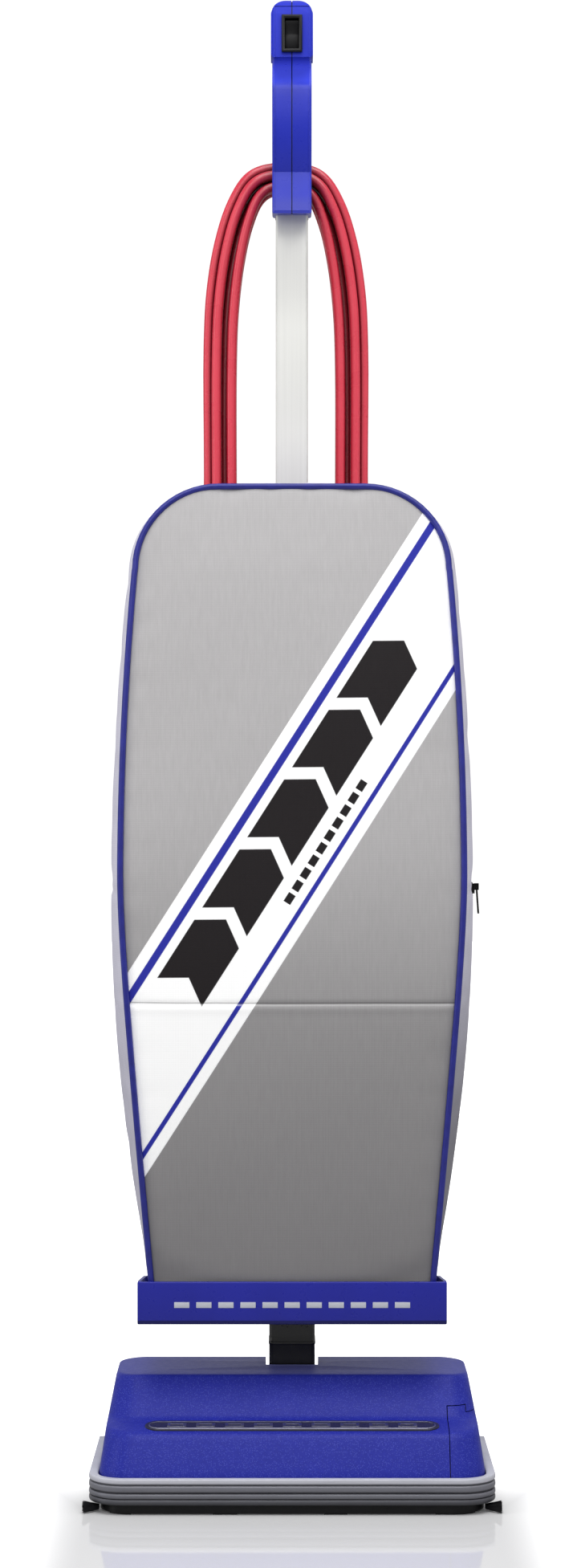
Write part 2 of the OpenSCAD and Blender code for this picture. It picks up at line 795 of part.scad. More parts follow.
// Outline of the front seam on one side, from the tray up and over the top.
module bag_piping() {
    r = piping_r;
    corner = bag_corner_r - r;
    edge = shoulder_hx - r;
    side = [for (z = [tray_z0 + 6:24:bag_top - bag_corner_r]) [bag_hx(z) - r, z]];
    bend = [for (a = [0:9:90])
        [edge - corner * (1 - cos(a)), bag_top - bag_corner_r + corner * sin(a)]];
    half = concat(side, bend);
    outline = concat(
        [for (p = half) [-p[0], p[1]]],
        [for (k = [len(half) - 1:-1:0]) half[k]]
    );
    color("#2a2c92") sweep([for (p = outline) [p[0], bag_front(p[1]) - r - 0.5, p[1]]], r, 10);
}

module bag_hanger() {
    color("#9a9aa0") difference() {
        union() {
            block([-15.5, tube_y - 12, 790], [15.5, tube_back + 3, 804]);
            block([-9, 61.2, 792], [9, tube_y - 11, 802]);
        }
        block([-tube_w / 2 - 0.1, tube_y - tube_d / 2 - 0.1, 789],
            [tube_w / 2 + 0.1, tube_back + 0.1, 805]);
    }
}

// Flat ring sector that follows the zip's arc from angle a0 down to a1.
module zip_arc(r0, r1, half_y, a0, a1) {
    translate([zip_x - zip_arc_r, 0, zip_z]) rotate([-90, 0, 0]) rotate([0, 0, a0])
        rotate_extrude(angle = a1 - a0, $fn = 256)
            translate([r0, -half_y]) square([r1 - r0, 2 * half_y]);
}

module zipper_tape() {
    color("#2b2b2d") zip_arc(zip_arc_r + 0.3, zip_arc_r + 1.1, 7, 0, zip_sweep);
}

slider_x = zip_x + 1.2;

module zip_slider() {
    color("#26262a") {
        block([slider_x, -4, zip_z - 9], [slider_x + 1.6, 4, zip_z - 1]);
        for (s = [-1, 1]) difference() {
            block([slider_x + 1.5, s * 2.3 - 0.6, zip_z - 6.2], [slider_x + 5, s * 2.3 + 0.6, zip_z - 0.8]);
            rod_y(-4, 4, slider_x + 3.2, zip_z - 3.5, 0.75);
        }
    }
}

module zip_pull() {
    px = slider_x + 3.2;
    pz = zip_z - 3.5;
    color("#202023") {
        rod_y(-2.85, 2.85, px, pz, 0.7);
        translate([px, 0, pz]) rotate([0, -4, 0]) {
            rod_y(-1.5, 1.5, 0, 0, 1.35);
            difference() {
                block([-0.7, -1.5, -22], [0.7, 1.5, -1]);
                rod_x(-1, 1, 0, -19.5, 0.9);
            }
        }
    }
}

// Paper bag between collar and top, each level [z, half-width, half-depth, centre y].
filter_levels = [[dock_z + 3.3, 22, 20, 26], [205, 50, 27, 14], [240, 88, 36, 4],
    [320, 106, 43, -1], [600, 110, 36, 8], [700, 98, 26, 16], [750, 86, 12, 26]];

function filter_ring(k, inset) =
    let (level = filter_levels[k])
    [for (a = [0:15:345])
        [(level[1] - inset) * cos(a), level[3] + (level[2] - inset) * sin(a), level[0]]];

module filter_bag() {
    paper = 0.8;
    top = len(filter_levels) - 1;
    inner = [for (k = [top:-1:0])
        [for (p = filter_ring(k, paper)) [p[0], p[1], k == top ? p[2] - paper : p[2]]]];
    outer = [for (k = [0:top]) filter_ring(k, 0)];
    color("#c9b184") loft(concat(inner, outer));
}

// ---------------------------------------------------------------- grip and switch

// Side outline of the grip as (y, z): stem in front, loop behind.
function grip_outline() = concat(
    [[52, grip_z0]],
    arc3([61, 1080], [49.5, 1116], [52, 1151]),
    [[64, 1168], face_low, face_high],
    arc3([51.5, 1216.5], [59, 1221.8], [72, 1224], 5),
    arc3([86, 1223.5], [118, 1197], [126, 1150]),
    arc3([125, 1142], [117, 1119], [98, 1102], 6),
    [[98, grip_z0]]
);

// Finger opening of the loop.
function grip_opening() = concat(
    arc3([72, 1104], [84, 1098], [95, 1106], 6),
    arc3([103, 1126], [106, 1150], [102, 1178], 6),
    arc3([93, 1190], [82, 1194], [72, 1186], 6),
    arc3([67, 1168], [64.5, 1144], [67, 1120], 5)
);

module grip_profile() {
    difference() {
        polygon(grip_outline());
        polygon(grip_opening());
    }
}

// Corners cut off above the round top of the head, seen from the front.
module head_corners(r) {
    difference() {
        block([-grip_w, 0, arch_z], [grip_w, far, far * 4]);
        rod_y(-1, far + 1, 0, arch_z, r);
    }
}

module in_switch_frame() {
    translate([0, switch_y, switch_z]) rotate([-face_tilt, 0, 0]) children();
}

grip_screw_at = [[90, 1058], [57.6, 1140], [113, 1160], [76, 1205]];

module grip_half(s) {
    seam = 0.06;
    x0 = s > 0 ? seam : -grip_hx;
    x1 = s > 0 ? grip_hx : -seam;
    hollow_hx = grip_hx - grip_wall;
    color("#3337b4") difference() {
        union() {
            difference() {
                extrude_x(x0, x1) grip_profile();
                difference() {
                    extrude_x(min(0, s * hollow_hx), max(0, s * hollow_hx)) difference() {
                        offset(delta = -grip_wall) grip_profile();
                        translate([0, grip_z0]) square([200, 46]);
                    }
                    head_corners(arch_r - grip_wall);
                }
            }
            // screw posts
            for (p = grip_screw_at) rod_x(x0, x1, p[0], p[1], 4.5);
            // side pads of the head
            extrude_x(s > 0 ? grip_hx - 0.5 : -grip_hx - 1.2, s > 0 ? grip_hx + 1.2 : -grip_hx + 0.5)
                intersection() {
                    offset(delta = -2) grip_profile();
                    translate([0, 1172]) square([68, 60]);
                }
        }
        block([-tube_w / 2 - 0.1, tube_y - tube_d / 2 - 0.1, grip_z0 - 1],
            [tube_w / 2 + 0.1, tube_back + 0.1, tube_top + 0.3]);
        head_corners(arch_r);
        in_switch_frame() block([-8, -3, -15.1], [8, 18.4, 15.1]);
        for (p = grip_screw_at) {
            rod_x(x0 - 1, x1 + 1, p[0], p[1], 1.6);
            if (s > 0) rod_x(grip_hx - 3, grip_hx + 3, p[0], p[1], 3.2);
        }
        // sloping foot, higher at the back
        extrude_x(-grip_w, grip_w) polygon([
            [52, grip_z0 - 0.01], [99, grip_z0 + foot_rise], [99, grip_z0 - 1], [52, grip_z0 - 1]
        ]);
        translate([relief_x, relief_y, grip_z0 - 1]) cylinder(h = 12, r = 4.6);
    }
}

module left_grip() { grip_half(-1); }
module right_grip() { grip_half(1); }

module grip_screws() {
    color("#7b7b82") for (p = grip_screw_at) {
        rod_x(-grip_hx + 2, grip_hx - 2.9, p[0], p[1], 1.5);
        difference() {
            rod_x(grip_hx - 2.9, grip_hx - 1.5, p[0], p[1], 3);
            block([grip_hx - 2, p[0] - 2.2, p[1] - 0.35], [grip_hx, p[0] + 2.2, p[1] + 0.35]);
        }
    }
}

module switch_bezel() {
    color("#151517") in_switch_frame() difference() {
        block([-8.6, -2.2, -16.3], [8.6, -0.15, 16.3]);
        block([-6, -3, -13.6], [6, 1, 13.6]);
    }
}

module switch_body() {
    color("#1c1c1f") in_switch_frame() difference() {
        block([-7.6, 0, -14.9], [7.6, 18, 14.9]);
        block([-6, -1, -13.6], [6, 12, 13.6]);
        rod_x(-7, 7, rocker_axis, 0, 1.55);
    }
}

rocker_axis = 4;

module switch_rocker() {
    profile = [[-3, 12.2], [-1.2, 0], [-3, -12.2], [3, -12.2], [6, -4], [6, 4], [3, 12.2]];
    color("#242426") in_switch_frame()
        translate([0, rocker_axis, 0]) rotate([rocker_rest, 0, 0])
            translate([0, -rocker_axis, 0]) {
                extrude_x(-5.8, 5.8) polygon(profile);
                rod_x(-6.9, 6.9, rocker_axis, 0, 1.5);
            }
}

// ---------------------------------------------------------------- cord hooks

hook_z = 500;
hook_bolt_z = [hook_z - 9.5, hook_z + 9.5];
hook_y0 = 98;
hook_y1 = 134;

module upper_cord_hook() {
    color("#2f2f33") {
        block([-14, 98.2, grip_z0 + 2], [14, 101.2, grip_z0 + 42]);
        block([-9.5, 100, grip_z0 + 19], [9.5, hook_y1 + 4, grip_z0 + 25]);
        block([-9.5, hook_y1, grip_z0 + 19], [9.5, hook_y1 + 4, grip_z0 + 46]);
    }
}

module hook_mount() {
    color("#2a2a2d") {
        block([-12, tube_back + 0.1, hook_z - 13], [12, tube_back + 3.5, hook_z + 13]);
        for (z = hook_bolt_z) rod_y(tube_back - 2.5, tube_back + 3, 0, z, 2);
        rod_y(tube_back + 3, hook_y0 - 1, 0, hook_z, 4);
    }
}

module lower_cord_hook() {
    color("#2f2f33") difference() {
        union() {
            rod_y(tube_back + 3.8, hook_y1 + 5, 0, hook_z, 8);
            block([-8, hook_y1, hook_z - 38], [8, hook_y1 + 5, hook_z + 8]);
        }
        rod_y(tube_back + 3, hook_y0 - 0.8, 0, hook_z, 4 + gap);
    }
}

// ---------------------------------------------------------------- mains cord

// Each turn of the wound cord has a column and a layer at its foot. Columns run
// out, then back in on the next layer, so neighbouring turns never cross. Higher
// up, each turn leans to its own place in the bundle.
turns = 8;
column_foot_x = [46, 60, 74];
column_foot = [84, 98, 112];
layer_foot_y = 104.4;
layer_foot_step = 12;
loop_drop = 150;
foot_z = 567;
crown_half = 12;
crown_spread = 0.25;     // how much wider the flat of an outer crown is
crown_steps = [1, 0.8, 0.6, 0.4, 0.25, 0.12, 0];
leg_z = 800;             // height down to which the legs run straight
// Half-width, depth and crown height of each turn
turn_top = [
    [46, 107, 1075.5], [58.6, 107, 1085], [65.8, 112.9, 1092], [65.8, 126.2, 1092],
    [60, 119.6, 1085], [51.5, 115.9, 1075.5], [46, 125, 1075], [57.5, 129.4, 1083]
];
tail_x = 93;
tail_foot = 126;

function turn_layer(k) = floor(k / 3);
function turn_column(k) = turn_layer(k) == 1 ? 2 - k % 3 : k % 3;
function foot_y(k) = layer_foot_y + layer_foot_step * turn_layer(k);

// Point of the lower bend: s is -1 on the left leg, 0 below and 1 on the right leg.
function foot_point(s, hx, drop, y) =
    [cord_x + hx * sin(90 * s), y, foot_z - drop * cos(90 * s)];

// Point of the upper bend on one side (-1 or 1): s is 1 at the leg and 0 on top,
// where the cord lies flat on the hook.
function crown_point(side, s, k) =
    let (
        top = turn_top[k],
        flat = crown_half + crown_spread * (top[0] - turn_top[0][0])
    )
    [
        cord_x + side * (flat + (top[0] - flat) * sin(90 * s)),
        top[1],
        top[2] - loop_drop + loop_drop * cos(90 * s)
    ];

function leg_point(side, k) = [cord_x + side * turn_top[k][0], turn_top[k][1], leg_z];

function turn_path(k) =
    let (
        c = turn_column(k),
        last = k == turns - 1,
        n = turn_column(min(k + 1, turns - 1)),
        next_hx = last ? tail_x : column_foot_x[n],
        next_drop = last ? tail_foot : column_foot[n],
        next_y = last ? foot_y(k) : foot_y(k + 1)
    )
    concat(
        [for (i = [0:5]) foot_point(-i / 5, column_foot_x[c], column_foot[c], foot_y(k))],
        [leg_point(-1, k)],
        [for (s = crown_steps) crown_point(-1, s, k)],
        [for (i = [len(crown_steps) - 1:-1:0]) crown_point(1, crown_steps[i], k)],
        [leg_point(1, k)],
        [for (i = [5:-1:1])
            let (t = 1 - i / 5)
            foot_point(i / 5, mix(column_foot_x[c], next_hx, t),
                mix(column_foot[c], next_drop, t), mix(foot_y(k), next_y, t))]
    );

relief_x = 8;
relief_y = 92.5;
lead_x = 22;
lead_y = 94.5;
lead_turn_z = 790;       // height where the lead-in starts to lean outwards
lead_lean = 170;
lead_foot_z = 530;

module power_cord() {
    drop = lead_foot_z - foot_z + column_foot[0];
    lead_in = concat(
        [[relief_x, relief_y, grip_z0], [relief_x, relief_y, 1027], [relief_x, lead_y, 1005]],
        [for (t = [0:0.25:1])
            [mix(relief_x, lead_x, ease(t)), lead_y, lead_turn_z - lead_lean * t]],
        [for (a = [0:15:75])
            [cord_x + (lead_x - cord_x) * cos(a), mix(lead_y, layer_foot_y, a / 90),
                lead_foot_z - drop * sin(a)]]
    );
    wound = [for (k = [0:turns - 1]) for (p = turn_path(k)) p];
    lead_out = concat(
        [for (i = [0:5]) foot_point(-i / 5, tail_x, tail_foot, foot_y(turns - 1))],
        [[cord_x - tail_x, foot_y(turns - 1), plug_z + 4]]
    );
    color("#d8405c") sweep(concat(lead_in, wound, lead_out), cord_r, 8);
}

module strain_relief() {
    top = grip_z0 + 2.8;
    foot = 1027;
    color("#1f1f22") translate([relief_x, relief_y, 0]) difference() {
        union() {
            for (k = [0:3]) translate([0, 0, foot + 1 + 4 * k]) cylinder(h = 3, r = 5 + 0.12 * k);
            translate([0, 0, foot]) cylinder(h = top - foot, r = 4.9);
        }
        translate([0, 0, foot - 1]) cylinder(h = 22, r = cord_r + 0.3);
    }
}

plug_z = 700;

module at_plug() {
    translate([cord_x - tail_x, foot_y(turns - 1), plug_z]) children();
}

module cord_plug() {
    color("#26262a") at_plug() difference() {
        union() {
            cylinder(h = 14, r = 7);
            translate([0, 0, 13]) cylinder(h = 22, r = 13);
        }
        translate([0, 0, -1]) cylinder(h = 14, r = cord_r + 0.15);
        for (s = [-1, 1]) block([s * 6.35 - 0.9, -3.3, 30], [s * 6.35 + 0.9, 3.3, 40]);
        translate([0, 7, 30]) cylinder(h = 10, r = 2.5);
    }
}

module plug_pins() {
    color("#c9a65a") at_plug() {
        for (s = [-1, 1]) block([s * 6.35 - 0.75, -3.15, 30.2], [s * 6.35 + 0.75, 3.15, 53]);
        translate([0, 7, 30.2]) cylinder(h = 24, r = 2.4);
    }
}

// ---------------------------------------------------------------- nodes

sole_plate();
sole_screws();
chassis();
hood();
belt_cover();
bumper();
hood_badge();
motor_can();
motor_end_bell();
field_stack();
carbon_brushes();
motor_bearings();
motor_mounts();
fan_housing();
exhaust_spigot();
intake_duct();
drive_belt();
brush_bearings();
edge_brushes();
wheel_axles();
pivot_pin();
guard_wires();
motor_shaft();
armature();
fan_impeller();
motor_pulley();
brush_core();
brush_bristles();
left_wheel_hub();
left_tyre();
right_wheel_hub();
right_tyre();
swivel_neck();
bag_tray();
tube_socket();
socket_bolts();
handle_tube();
bag_dock();
bag_collar();
filter_bag();
outer_bag();
bag_piping();
bag_hanger();
zipper_tape();
zip_slider();
zip_pull();
left_grip();
right_grip();
grip_screws();
switch_bezel();
switch_body();
switch_rocker();
upper_cord_hook();
hook_mount();
lower_cord_hook();
strain_relief();
power_cord();
cord_plug();
plug_pins();
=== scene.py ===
"""Looks of the upright vacuum cleaner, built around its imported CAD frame.

Shapes are written in millimetres in the row frame (front -Y, user's right +X, floor z = 0)
and are turned into metres when a mesh is made. Places come from the CAD boxes.
"""

from math import atan2, cos, degrees, exp, hypot, pi, radians, sin, sqrt

import bmesh
import bpy
import numpy as np
from mathutils import Matrix, Vector


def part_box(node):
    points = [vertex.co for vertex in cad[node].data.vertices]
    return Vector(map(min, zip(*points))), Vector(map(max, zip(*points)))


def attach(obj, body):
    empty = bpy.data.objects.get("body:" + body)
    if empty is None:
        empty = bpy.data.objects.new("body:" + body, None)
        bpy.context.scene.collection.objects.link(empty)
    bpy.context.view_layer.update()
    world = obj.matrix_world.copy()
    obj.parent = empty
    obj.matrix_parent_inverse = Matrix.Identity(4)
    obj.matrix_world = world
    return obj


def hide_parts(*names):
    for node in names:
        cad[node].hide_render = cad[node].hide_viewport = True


MM = 0.001

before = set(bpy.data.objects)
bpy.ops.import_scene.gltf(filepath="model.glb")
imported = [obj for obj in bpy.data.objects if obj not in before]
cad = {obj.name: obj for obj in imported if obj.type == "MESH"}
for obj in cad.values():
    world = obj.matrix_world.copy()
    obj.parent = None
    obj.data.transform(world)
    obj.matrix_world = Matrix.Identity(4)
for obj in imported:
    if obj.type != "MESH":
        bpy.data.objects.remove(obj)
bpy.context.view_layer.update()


# ---------------------------------------------------------------- frame helpers

def box_mm(node):
    """Lowest and highest corners of a CAD node, in millimetres."""
    low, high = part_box(node)
    return low / MM, high / MM


def clamp(x, low=0.0, high=1.0):
    return max(low, min(high, x))


def ease(x):
    x = clamp(x)
    return x * x * (3 - 2 * x)


def mix(a, b, t):
    return a + (b - a) * t


def srgb(code):
    """Linear RGBA of a colour written as RRGGBB."""
    values = [int(code[i:i + 2], 16) / 255 for i in (0, 2, 4)]
    linear = [v / 12.92 if v <= 0.04045 else ((v + 0.055) / 1.055) ** 2.4 for v in values]
    return (*linear, 1.0)


# ---------------------------------------------------------------- mesh helpers

def new_object(name, verts, faces, uvs=None):
    """Object from vertices in millimetres. uvs gives one (u, v) per vertex."""
    mesh = bpy.data.meshes.new(name)
    mesh.from_pydata([Vector(v) * MM for v in verts], [], faces)
    if uvs:
        layer = mesh.uv_layers.new(name="UVMap")
        for loop in mesh.loops:
            layer.data[loop.index].uv = uvs[loop.vertex_index]
    mesh.validate()
    mesh.update()
    obj = bpy.data.objects.new(name, mesh)
    bpy.context.scene.collection.objects.link(obj)
    return obj


def outward(obj):
    """Points every face of a closed mesh outwards."""
    bm = bmesh.new()
    bm.from_mesh(obj.data)
    bmesh.ops.recalc_face_normals(bm, faces=bm.faces)
    bm.to_mesh(obj.data)
    bm.free()
    return obj


def smooth(obj, angle=35):
    """Smooth shading that keeps edges sharper than angle, in degrees."""
    obj.data.polygons.foreach_set("use_smooth", [True] * len(obj.data.polygons))
    obj.data.set_sharp_from_angle(angle=radians(angle))
    return obj


def bake(obj):
    """Applies every modifier of obj to its mesh."""
    graph = bpy.context.evaluated_depsgraph_get()
    done = bpy.data.meshes.new_from_object(obj.evaluated_get(graph))
    obj.modifiers.clear()
    old = obj.data
    obj.data = done
    bpy.data.meshes.remove(old)
    return obj


def boolean(obj, tool, operation="DIFFERENCE"):
    """Exact boolean of obj with tool. The tool is used up."""
    mod = obj.modifiers.new("bool", "BOOLEAN")
    mod.operation = operation
    mod.solver = "EXACT"
    mod.object = tool
    bake(obj)
    bpy.data.objects.remove(tool)
    return obj


def bevel(obj, width, segments=3, angle=30):
    """Rounds the edges sharper than angle by width millimetres."""
    mod = obj.modifiers.new("bevel", "BEVEL")
    mod.width = width * MM
    mod.segments = segments
    mod.limit_method = "ANGLE"
    mod.angle_limit = radians(angle)
    mod.harden_normals = False
    return bake(obj)


def join(name, parts):
    """One object from several, keeping their materials."""
    with bpy.context.temp_override(
        active_object=parts[0], object=parts[0], selected_objects=parts,
        selected_editable_objects=parts,
    ):
        bpy.ops.object.join()
    parts[0].name = name
    parts[0].data.name = name
    return parts[0]


def place(obj, body, material, slot, *nodes, angle=35):
    """Finishes a piece: shading, material, the body it rides on and the CAD nodes it stands for."""
    if angle is not None:
        smooth(obj, angle)
    if not obj.data.materials:
        obj.data.materials.append(material)
    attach(obj, body)
    if nodes:
        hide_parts(*nodes)
    return obj


def grid_faces(rows, columns, wrap=True):
    """Quads of a grid of rows x columns vertices, joined round each row when wrap is true."""
    count = columns if wrap else columns - 1
    return [
        (
            r * columns + c,
            r * columns + (c + 1) % columns,
            (r + 1) * columns + (c + 1) % columns,
            (r + 1) * columns + c,
        )
        for r in range(rows - 1)
        for c in range(count)
    ]


def loft(name, rings, caps=True):
    """Closed skin over rings that all hold the same number of points."""
    columns = len(rings[0])
    verts = [p for ring in rings for p in ring]
    faces = grid_faces(len(rings), columns)
    if caps:
        last = (len(rings) - 1) * columns
        faces.append(tuple(reversed(range(columns))))
        faces.append(tuple(range(last, last + columns)))
    return outward(new_object(name, verts, faces))


def block(name, low, high):
    """Rectangular block, the start of a bevelled part or a cutter."""
    (x0, y0, z0), (x1, y1, z1) = low, high
    ring = [(x0, y0), (x1, y0), (x1, y1), (x0, y1)]
    return loft(name, [[(x, y, z) for x, y in ring] for z in (z0, z1)])


def rounded_outline(x0, x1, y0, y1, radius, steps=8):
    """Rounded rectangle as (x, y) points. radius is one value or (front, back)."""
    front, back = radius if isinstance(radius, tuple) else (radius, radius)
    corners = [
        (x1 - front, y0 + front, front, -90),
        (x1 - back, y1 - back, back, 0),
        (x0 + back, y1 - back, back, 90),
        (x0 + front, y0 + front, front, 180),
    ]
    points = []
    for cx, cy, r, start in corners:
        for i in range(steps + 1):
            a = radians(start + 90 * i / steps)
            points.append((cx + r * cos(a), cy + r * sin(a)))
    return points


def rod(name, start, end, radius, sides=32, edge=0.0):
    """Round bar between two points, with its end edges rounded by edge."""
    a, b = Vector(start), Vector(end)
    axis = (b - a).normalized()
    across = axis.orthogonal().normalized()
    other = axis.cross(across)
    stations = [(0.0, radius)]
    if edge:
        stations = [
            (edge * (1 - cos(radians(t))), radius - edge * (1 - sin(radians(t))))
            for t in (0, 30, 60, 90)
        ]
    length = (b - a).length
    profile = stations + [(length - d, r) for d, r in reversed(stations)]
    rings = []
    for d, r in profile:
        centre = a + axis * d
        rings.append([
            tuple(centre + (across * cos(2 * pi * i / sides) + other * sin(2 * pi * i / sides)) * r)
            for i in range(sides)
        ])
    return loft(name, rings)


def tube_along(name, points, radius, sides=16, closed=False, taper=None):
    """Round tube swept along points, with frames carried from one point to the next."""
    path = [Vector(p) for p in points]
    count = len(path)
    if closed:
        tangents = [(path[(i + 1) % count] - path[i - 1]).normalized() for i in range(count)]
    else:
        tangents = [
            (path[min(i + 1, count - 1)] - path[max(i - 1, 0)]).normalized()
            for i in range(count)
        ]
    across = tangents[0].orthogonal().normalized()
    rings = []
    for i, (centre, tangent) in enumerate(zip(path, tangents)):
        across = (across - tangent * across.dot(tangent)).normalized()
        other = tangent.cross(across)
        r = radius * (taper(i / (count - 1)) if taper else 1.0)
        rings.append([
            tuple(centre + (across * cos(2 * pi * k / sides) + other * sin(2 * pi * k / sides)) * r)
            for k in range(sides)
        ])
    if closed:
        rings.append(rings[0])
        obj = loft(name, rings, caps=False)
        bm = bmesh.new()
        bm.from_mesh(obj.data)
        bmesh.ops.remove_doubles(bm, verts=bm.verts, dist=1e-6)
        bm.to_mesh(obj.data)
        bm.free()
        return obj
    return loft(name, rings)


def fillet_path(corners, cuts, steps=5):
    """Path through corners, each one rounded by a curve that starts its cut length before it."""
    points = [np.array(c, float) for c in corners]
    out = [points[0]]
    for i in range(1, len(points) - 1):
        before, here, after = points[i - 1], points[i], points[i + 1]
        back, ahead = before - here, after - here
        start = here + back * min(0.49, cuts[i - 1] / np.linalg.norm(back))
        end = here + ahead * min(0.49, cuts[i - 1] / np.linalg.norm(ahead))
        for k in range(steps + 1):
            t = k / steps
            out.append(start * (1 - t) ** 2 + here * 2 * t * (1 - t) + end * t * t)
    out.append(points[-1])
    return out


# ---------------------------------------------------------------- printed band of the bag, in metres

BAND_SLOPE = 0.64                 # how far the band leans, across per up
BAND_Z = 0.7493                   # height at which its edges are given
BAND_EDGES = (0.0801, 0.1975)
BAND_LINES = ((0.0905, 0.0976), (0.1829, 0.1874))
BARS_ACROSS = (0.106, 0.156)
BARS_ALONG = (-0.325, 0.005)
BAR_COUNT = 5
BAR_SHARE = 0.84
DASHES_ACROSS = (0.1670, 0.1745)
DASHES_ALONG = (-0.233, -0.115)
DASH_COUNT = 10


# ---------------------------------------------------------------- material helpers

class Shader:
    """A node material written step by step. Coordinates are the row frame in metres."""

    def __init__(self, name):
        self.material = bpy.data.materials.new(name)
        self.material.use_nodes = True
        self.tree = self.material.node_tree
        self.tree.nodes.clear()
        self.surface = self.tree.nodes.new("ShaderNodeBsdfPrincipled")
        output = self.tree.nodes.new("ShaderNodeOutputMaterial")
        self.tree.links.new(self.surface.outputs[0], output.inputs[0])
        self.place = self.tree.nodes.new("ShaderNodeTexCoord").outputs["Object"]

    def put(self, socket, value):
        if isinstance(value, bpy.types.NodeSocket):
            self.tree.links.new(value, socket)
        else:
            socket.default_value = value

    def set(self, **values):
        for key, value in values.items():
            self.put(self.surface.inputs[key.replace("_", " ")], value)
        return self

    def math(self, operation, a, b=0.0, clamped=False):
        node = self.tree.nodes.new("ShaderNodeMath")
        node.operation = operation
        node.use_clamp = clamped
        self.put(node.inputs[0], a)
        self.put(node.inputs[1], b)
        return node.outputs[0]

    def axes(self, vector=None):
        node = self.tree.nodes.new("ShaderNodeSeparateXYZ")
        self.put(node.inputs[0], vector or self.place)
        return node.outputs

    def vector(self, x=0.0, y=0.0, z=0.0):
        node = self.tree.nodes.new("ShaderNodeCombineXYZ")
        for socket, value in zip(node.inputs, (x, y, z)):
            self.put(socket, value)
        return node.outputs[0]

    def stretch(self, scale, vector=None):
        node = self.tree.nodes.new("ShaderNodeMapping")
        self.put(node.inputs["Vector"], vector or self.place)
        node.inputs["Scale"].default_value = scale
        return node.outputs[0]

    def noise(self, per_metre, detail=2.0, vector=None, roughness=0.5):
        node = self.tree.nodes.new("ShaderNodeTexNoise")
        self.put(node.inputs["Vector"], vector or self.place)
        node.inputs["Scale"].default_value = per_metre
        node.inputs["Detail"].default_value = detail
        node.inputs["Roughness"].default_value = roughness
        return node.outputs["Fac"]

    def cells(self, per_metre, output="Distance", vector=None):
        node = self.tree.nodes.new("ShaderNodeTexVoronoi")
        self.put(node.inputs["Vector"], vector or self.place)
        node.inputs["Scale"].default_value = per_metre
        return node.outputs[output]

    def spread(self, value, low, high, to_low=0.0, to_high=1.0, soft=False):
        node = self.tree.nodes.new("ShaderNodeMapRange")
        node.interpolation_type = "SMOOTHSTEP" if soft else "LINEAR"
        self.put(node.inputs["Value"], value)
        for key, v in zip(("From Min", "From Max", "To Min", "To Max"), (low, high, to_low, to_high)):
            self.put(node.inputs[key], v)
        return node.outputs[0]

    def blend(self, amount, a, b, mode="MIX"):
        node = self.tree.nodes.new("ShaderNodeMix")
        node.data_type = "RGBA"
        node.blend_type = mode
        self.put(node.inputs[0], amount)
        self.put(node.inputs[6], a)
        self.put(node.inputs[7], b)
        return node.outputs[2]

    def bump(self, height, depth_mm, strength=1.0, normal=None):
        node = self.tree.nodes.new("ShaderNodeBump")
        node.inputs["Strength"].default_value = strength
        node.inputs["Distance"].default_value = depth_mm * MM
        self.put(node.inputs["Height"], height)
        if normal is not None:
            self.put(node.inputs["Normal"], normal)
        return node.outputs[0]

    def openness(self, reach_mm):
        """1 on open surfaces, lower in narrow gaps."""
        node = self.tree.nodes.new("ShaderNodeAmbientOcclusion")
        node.samples = 6
        node.inputs["Distance"].default_value = reach_mm * MM
        return node.outputs["AO"]

    def slant(self):
        """0 where the surface faces the viewer, 1 where it turns away."""
        node = self.tree.nodes.new("ShaderNodeLayerWeight")
        node.inputs["Blend"].default_value = 0.5
        return node.outputs["Facing"]

    def soft_edges(self, radius_mm):
        node = self.tree.nodes.new("ShaderNodeBevel")
        node.samples = 4
        node.inputs["Radius"].default_value = radius_mm * MM
        return node.outputs[0]

    def edge_wear(self, radius_mm, gain=6.0):
        """Near 1 on convex edges, where the bevelled and true normals differ."""
        rounded = self.soft_edges(radius_mm)
        true = self.tree.nodes.new("ShaderNodeNewGeometry").outputs["Normal"]
        node = self.tree.nodes.new("ShaderNodeVectorMath")
        node.operation = "DOT_PRODUCT"
        self.put(node.inputs[0], rounded)
        self.put(node.inputs[1], true)
        return self.math("MULTIPLY", self.math("SUBTRACT", 1.0, node.outputs["Value"]), gain, True)


def plastic(name, colour, rough=0.35, grain=2600, depth=0.02, tone=0.06, edge=0.4, gloss=0.0, shine=0.3):
    """Moulded plastic: fine grain, slow tone drift, uneven sheen and paler worn edges."""
    s = Shader(name)
    base = srgb(colour)
    drift = s.noise(35, 3)
    shade = s.blend(s.spread(drift, 0.3, 0.7, 0, 1), [c * (1 - tone) for c in base[:3]] + [1],
                    [c * (1 + tone) for c in base[:3]] + [1])
    worn = s.edge_wear(edge)
    shade = s.blend(s.math("MULTIPLY", worn, 0.06), shade, (0.75, 0.75, 0.78, 1))
    fine = s.noise(grain, 2)
    s.set(
        Base_Color=shade,
        Specular_IOR_Level=shine,
        Roughness=s.spread(s.noise(140, 4), 0.3, 0.7, rough - 0.05, rough + 0.06),
        Normal=s.bump(fine, depth, 0.35, s.soft_edges(edge)),
        Coat_Weight=gloss,
        Coat_Roughness=0.12,
    )
    return s.material


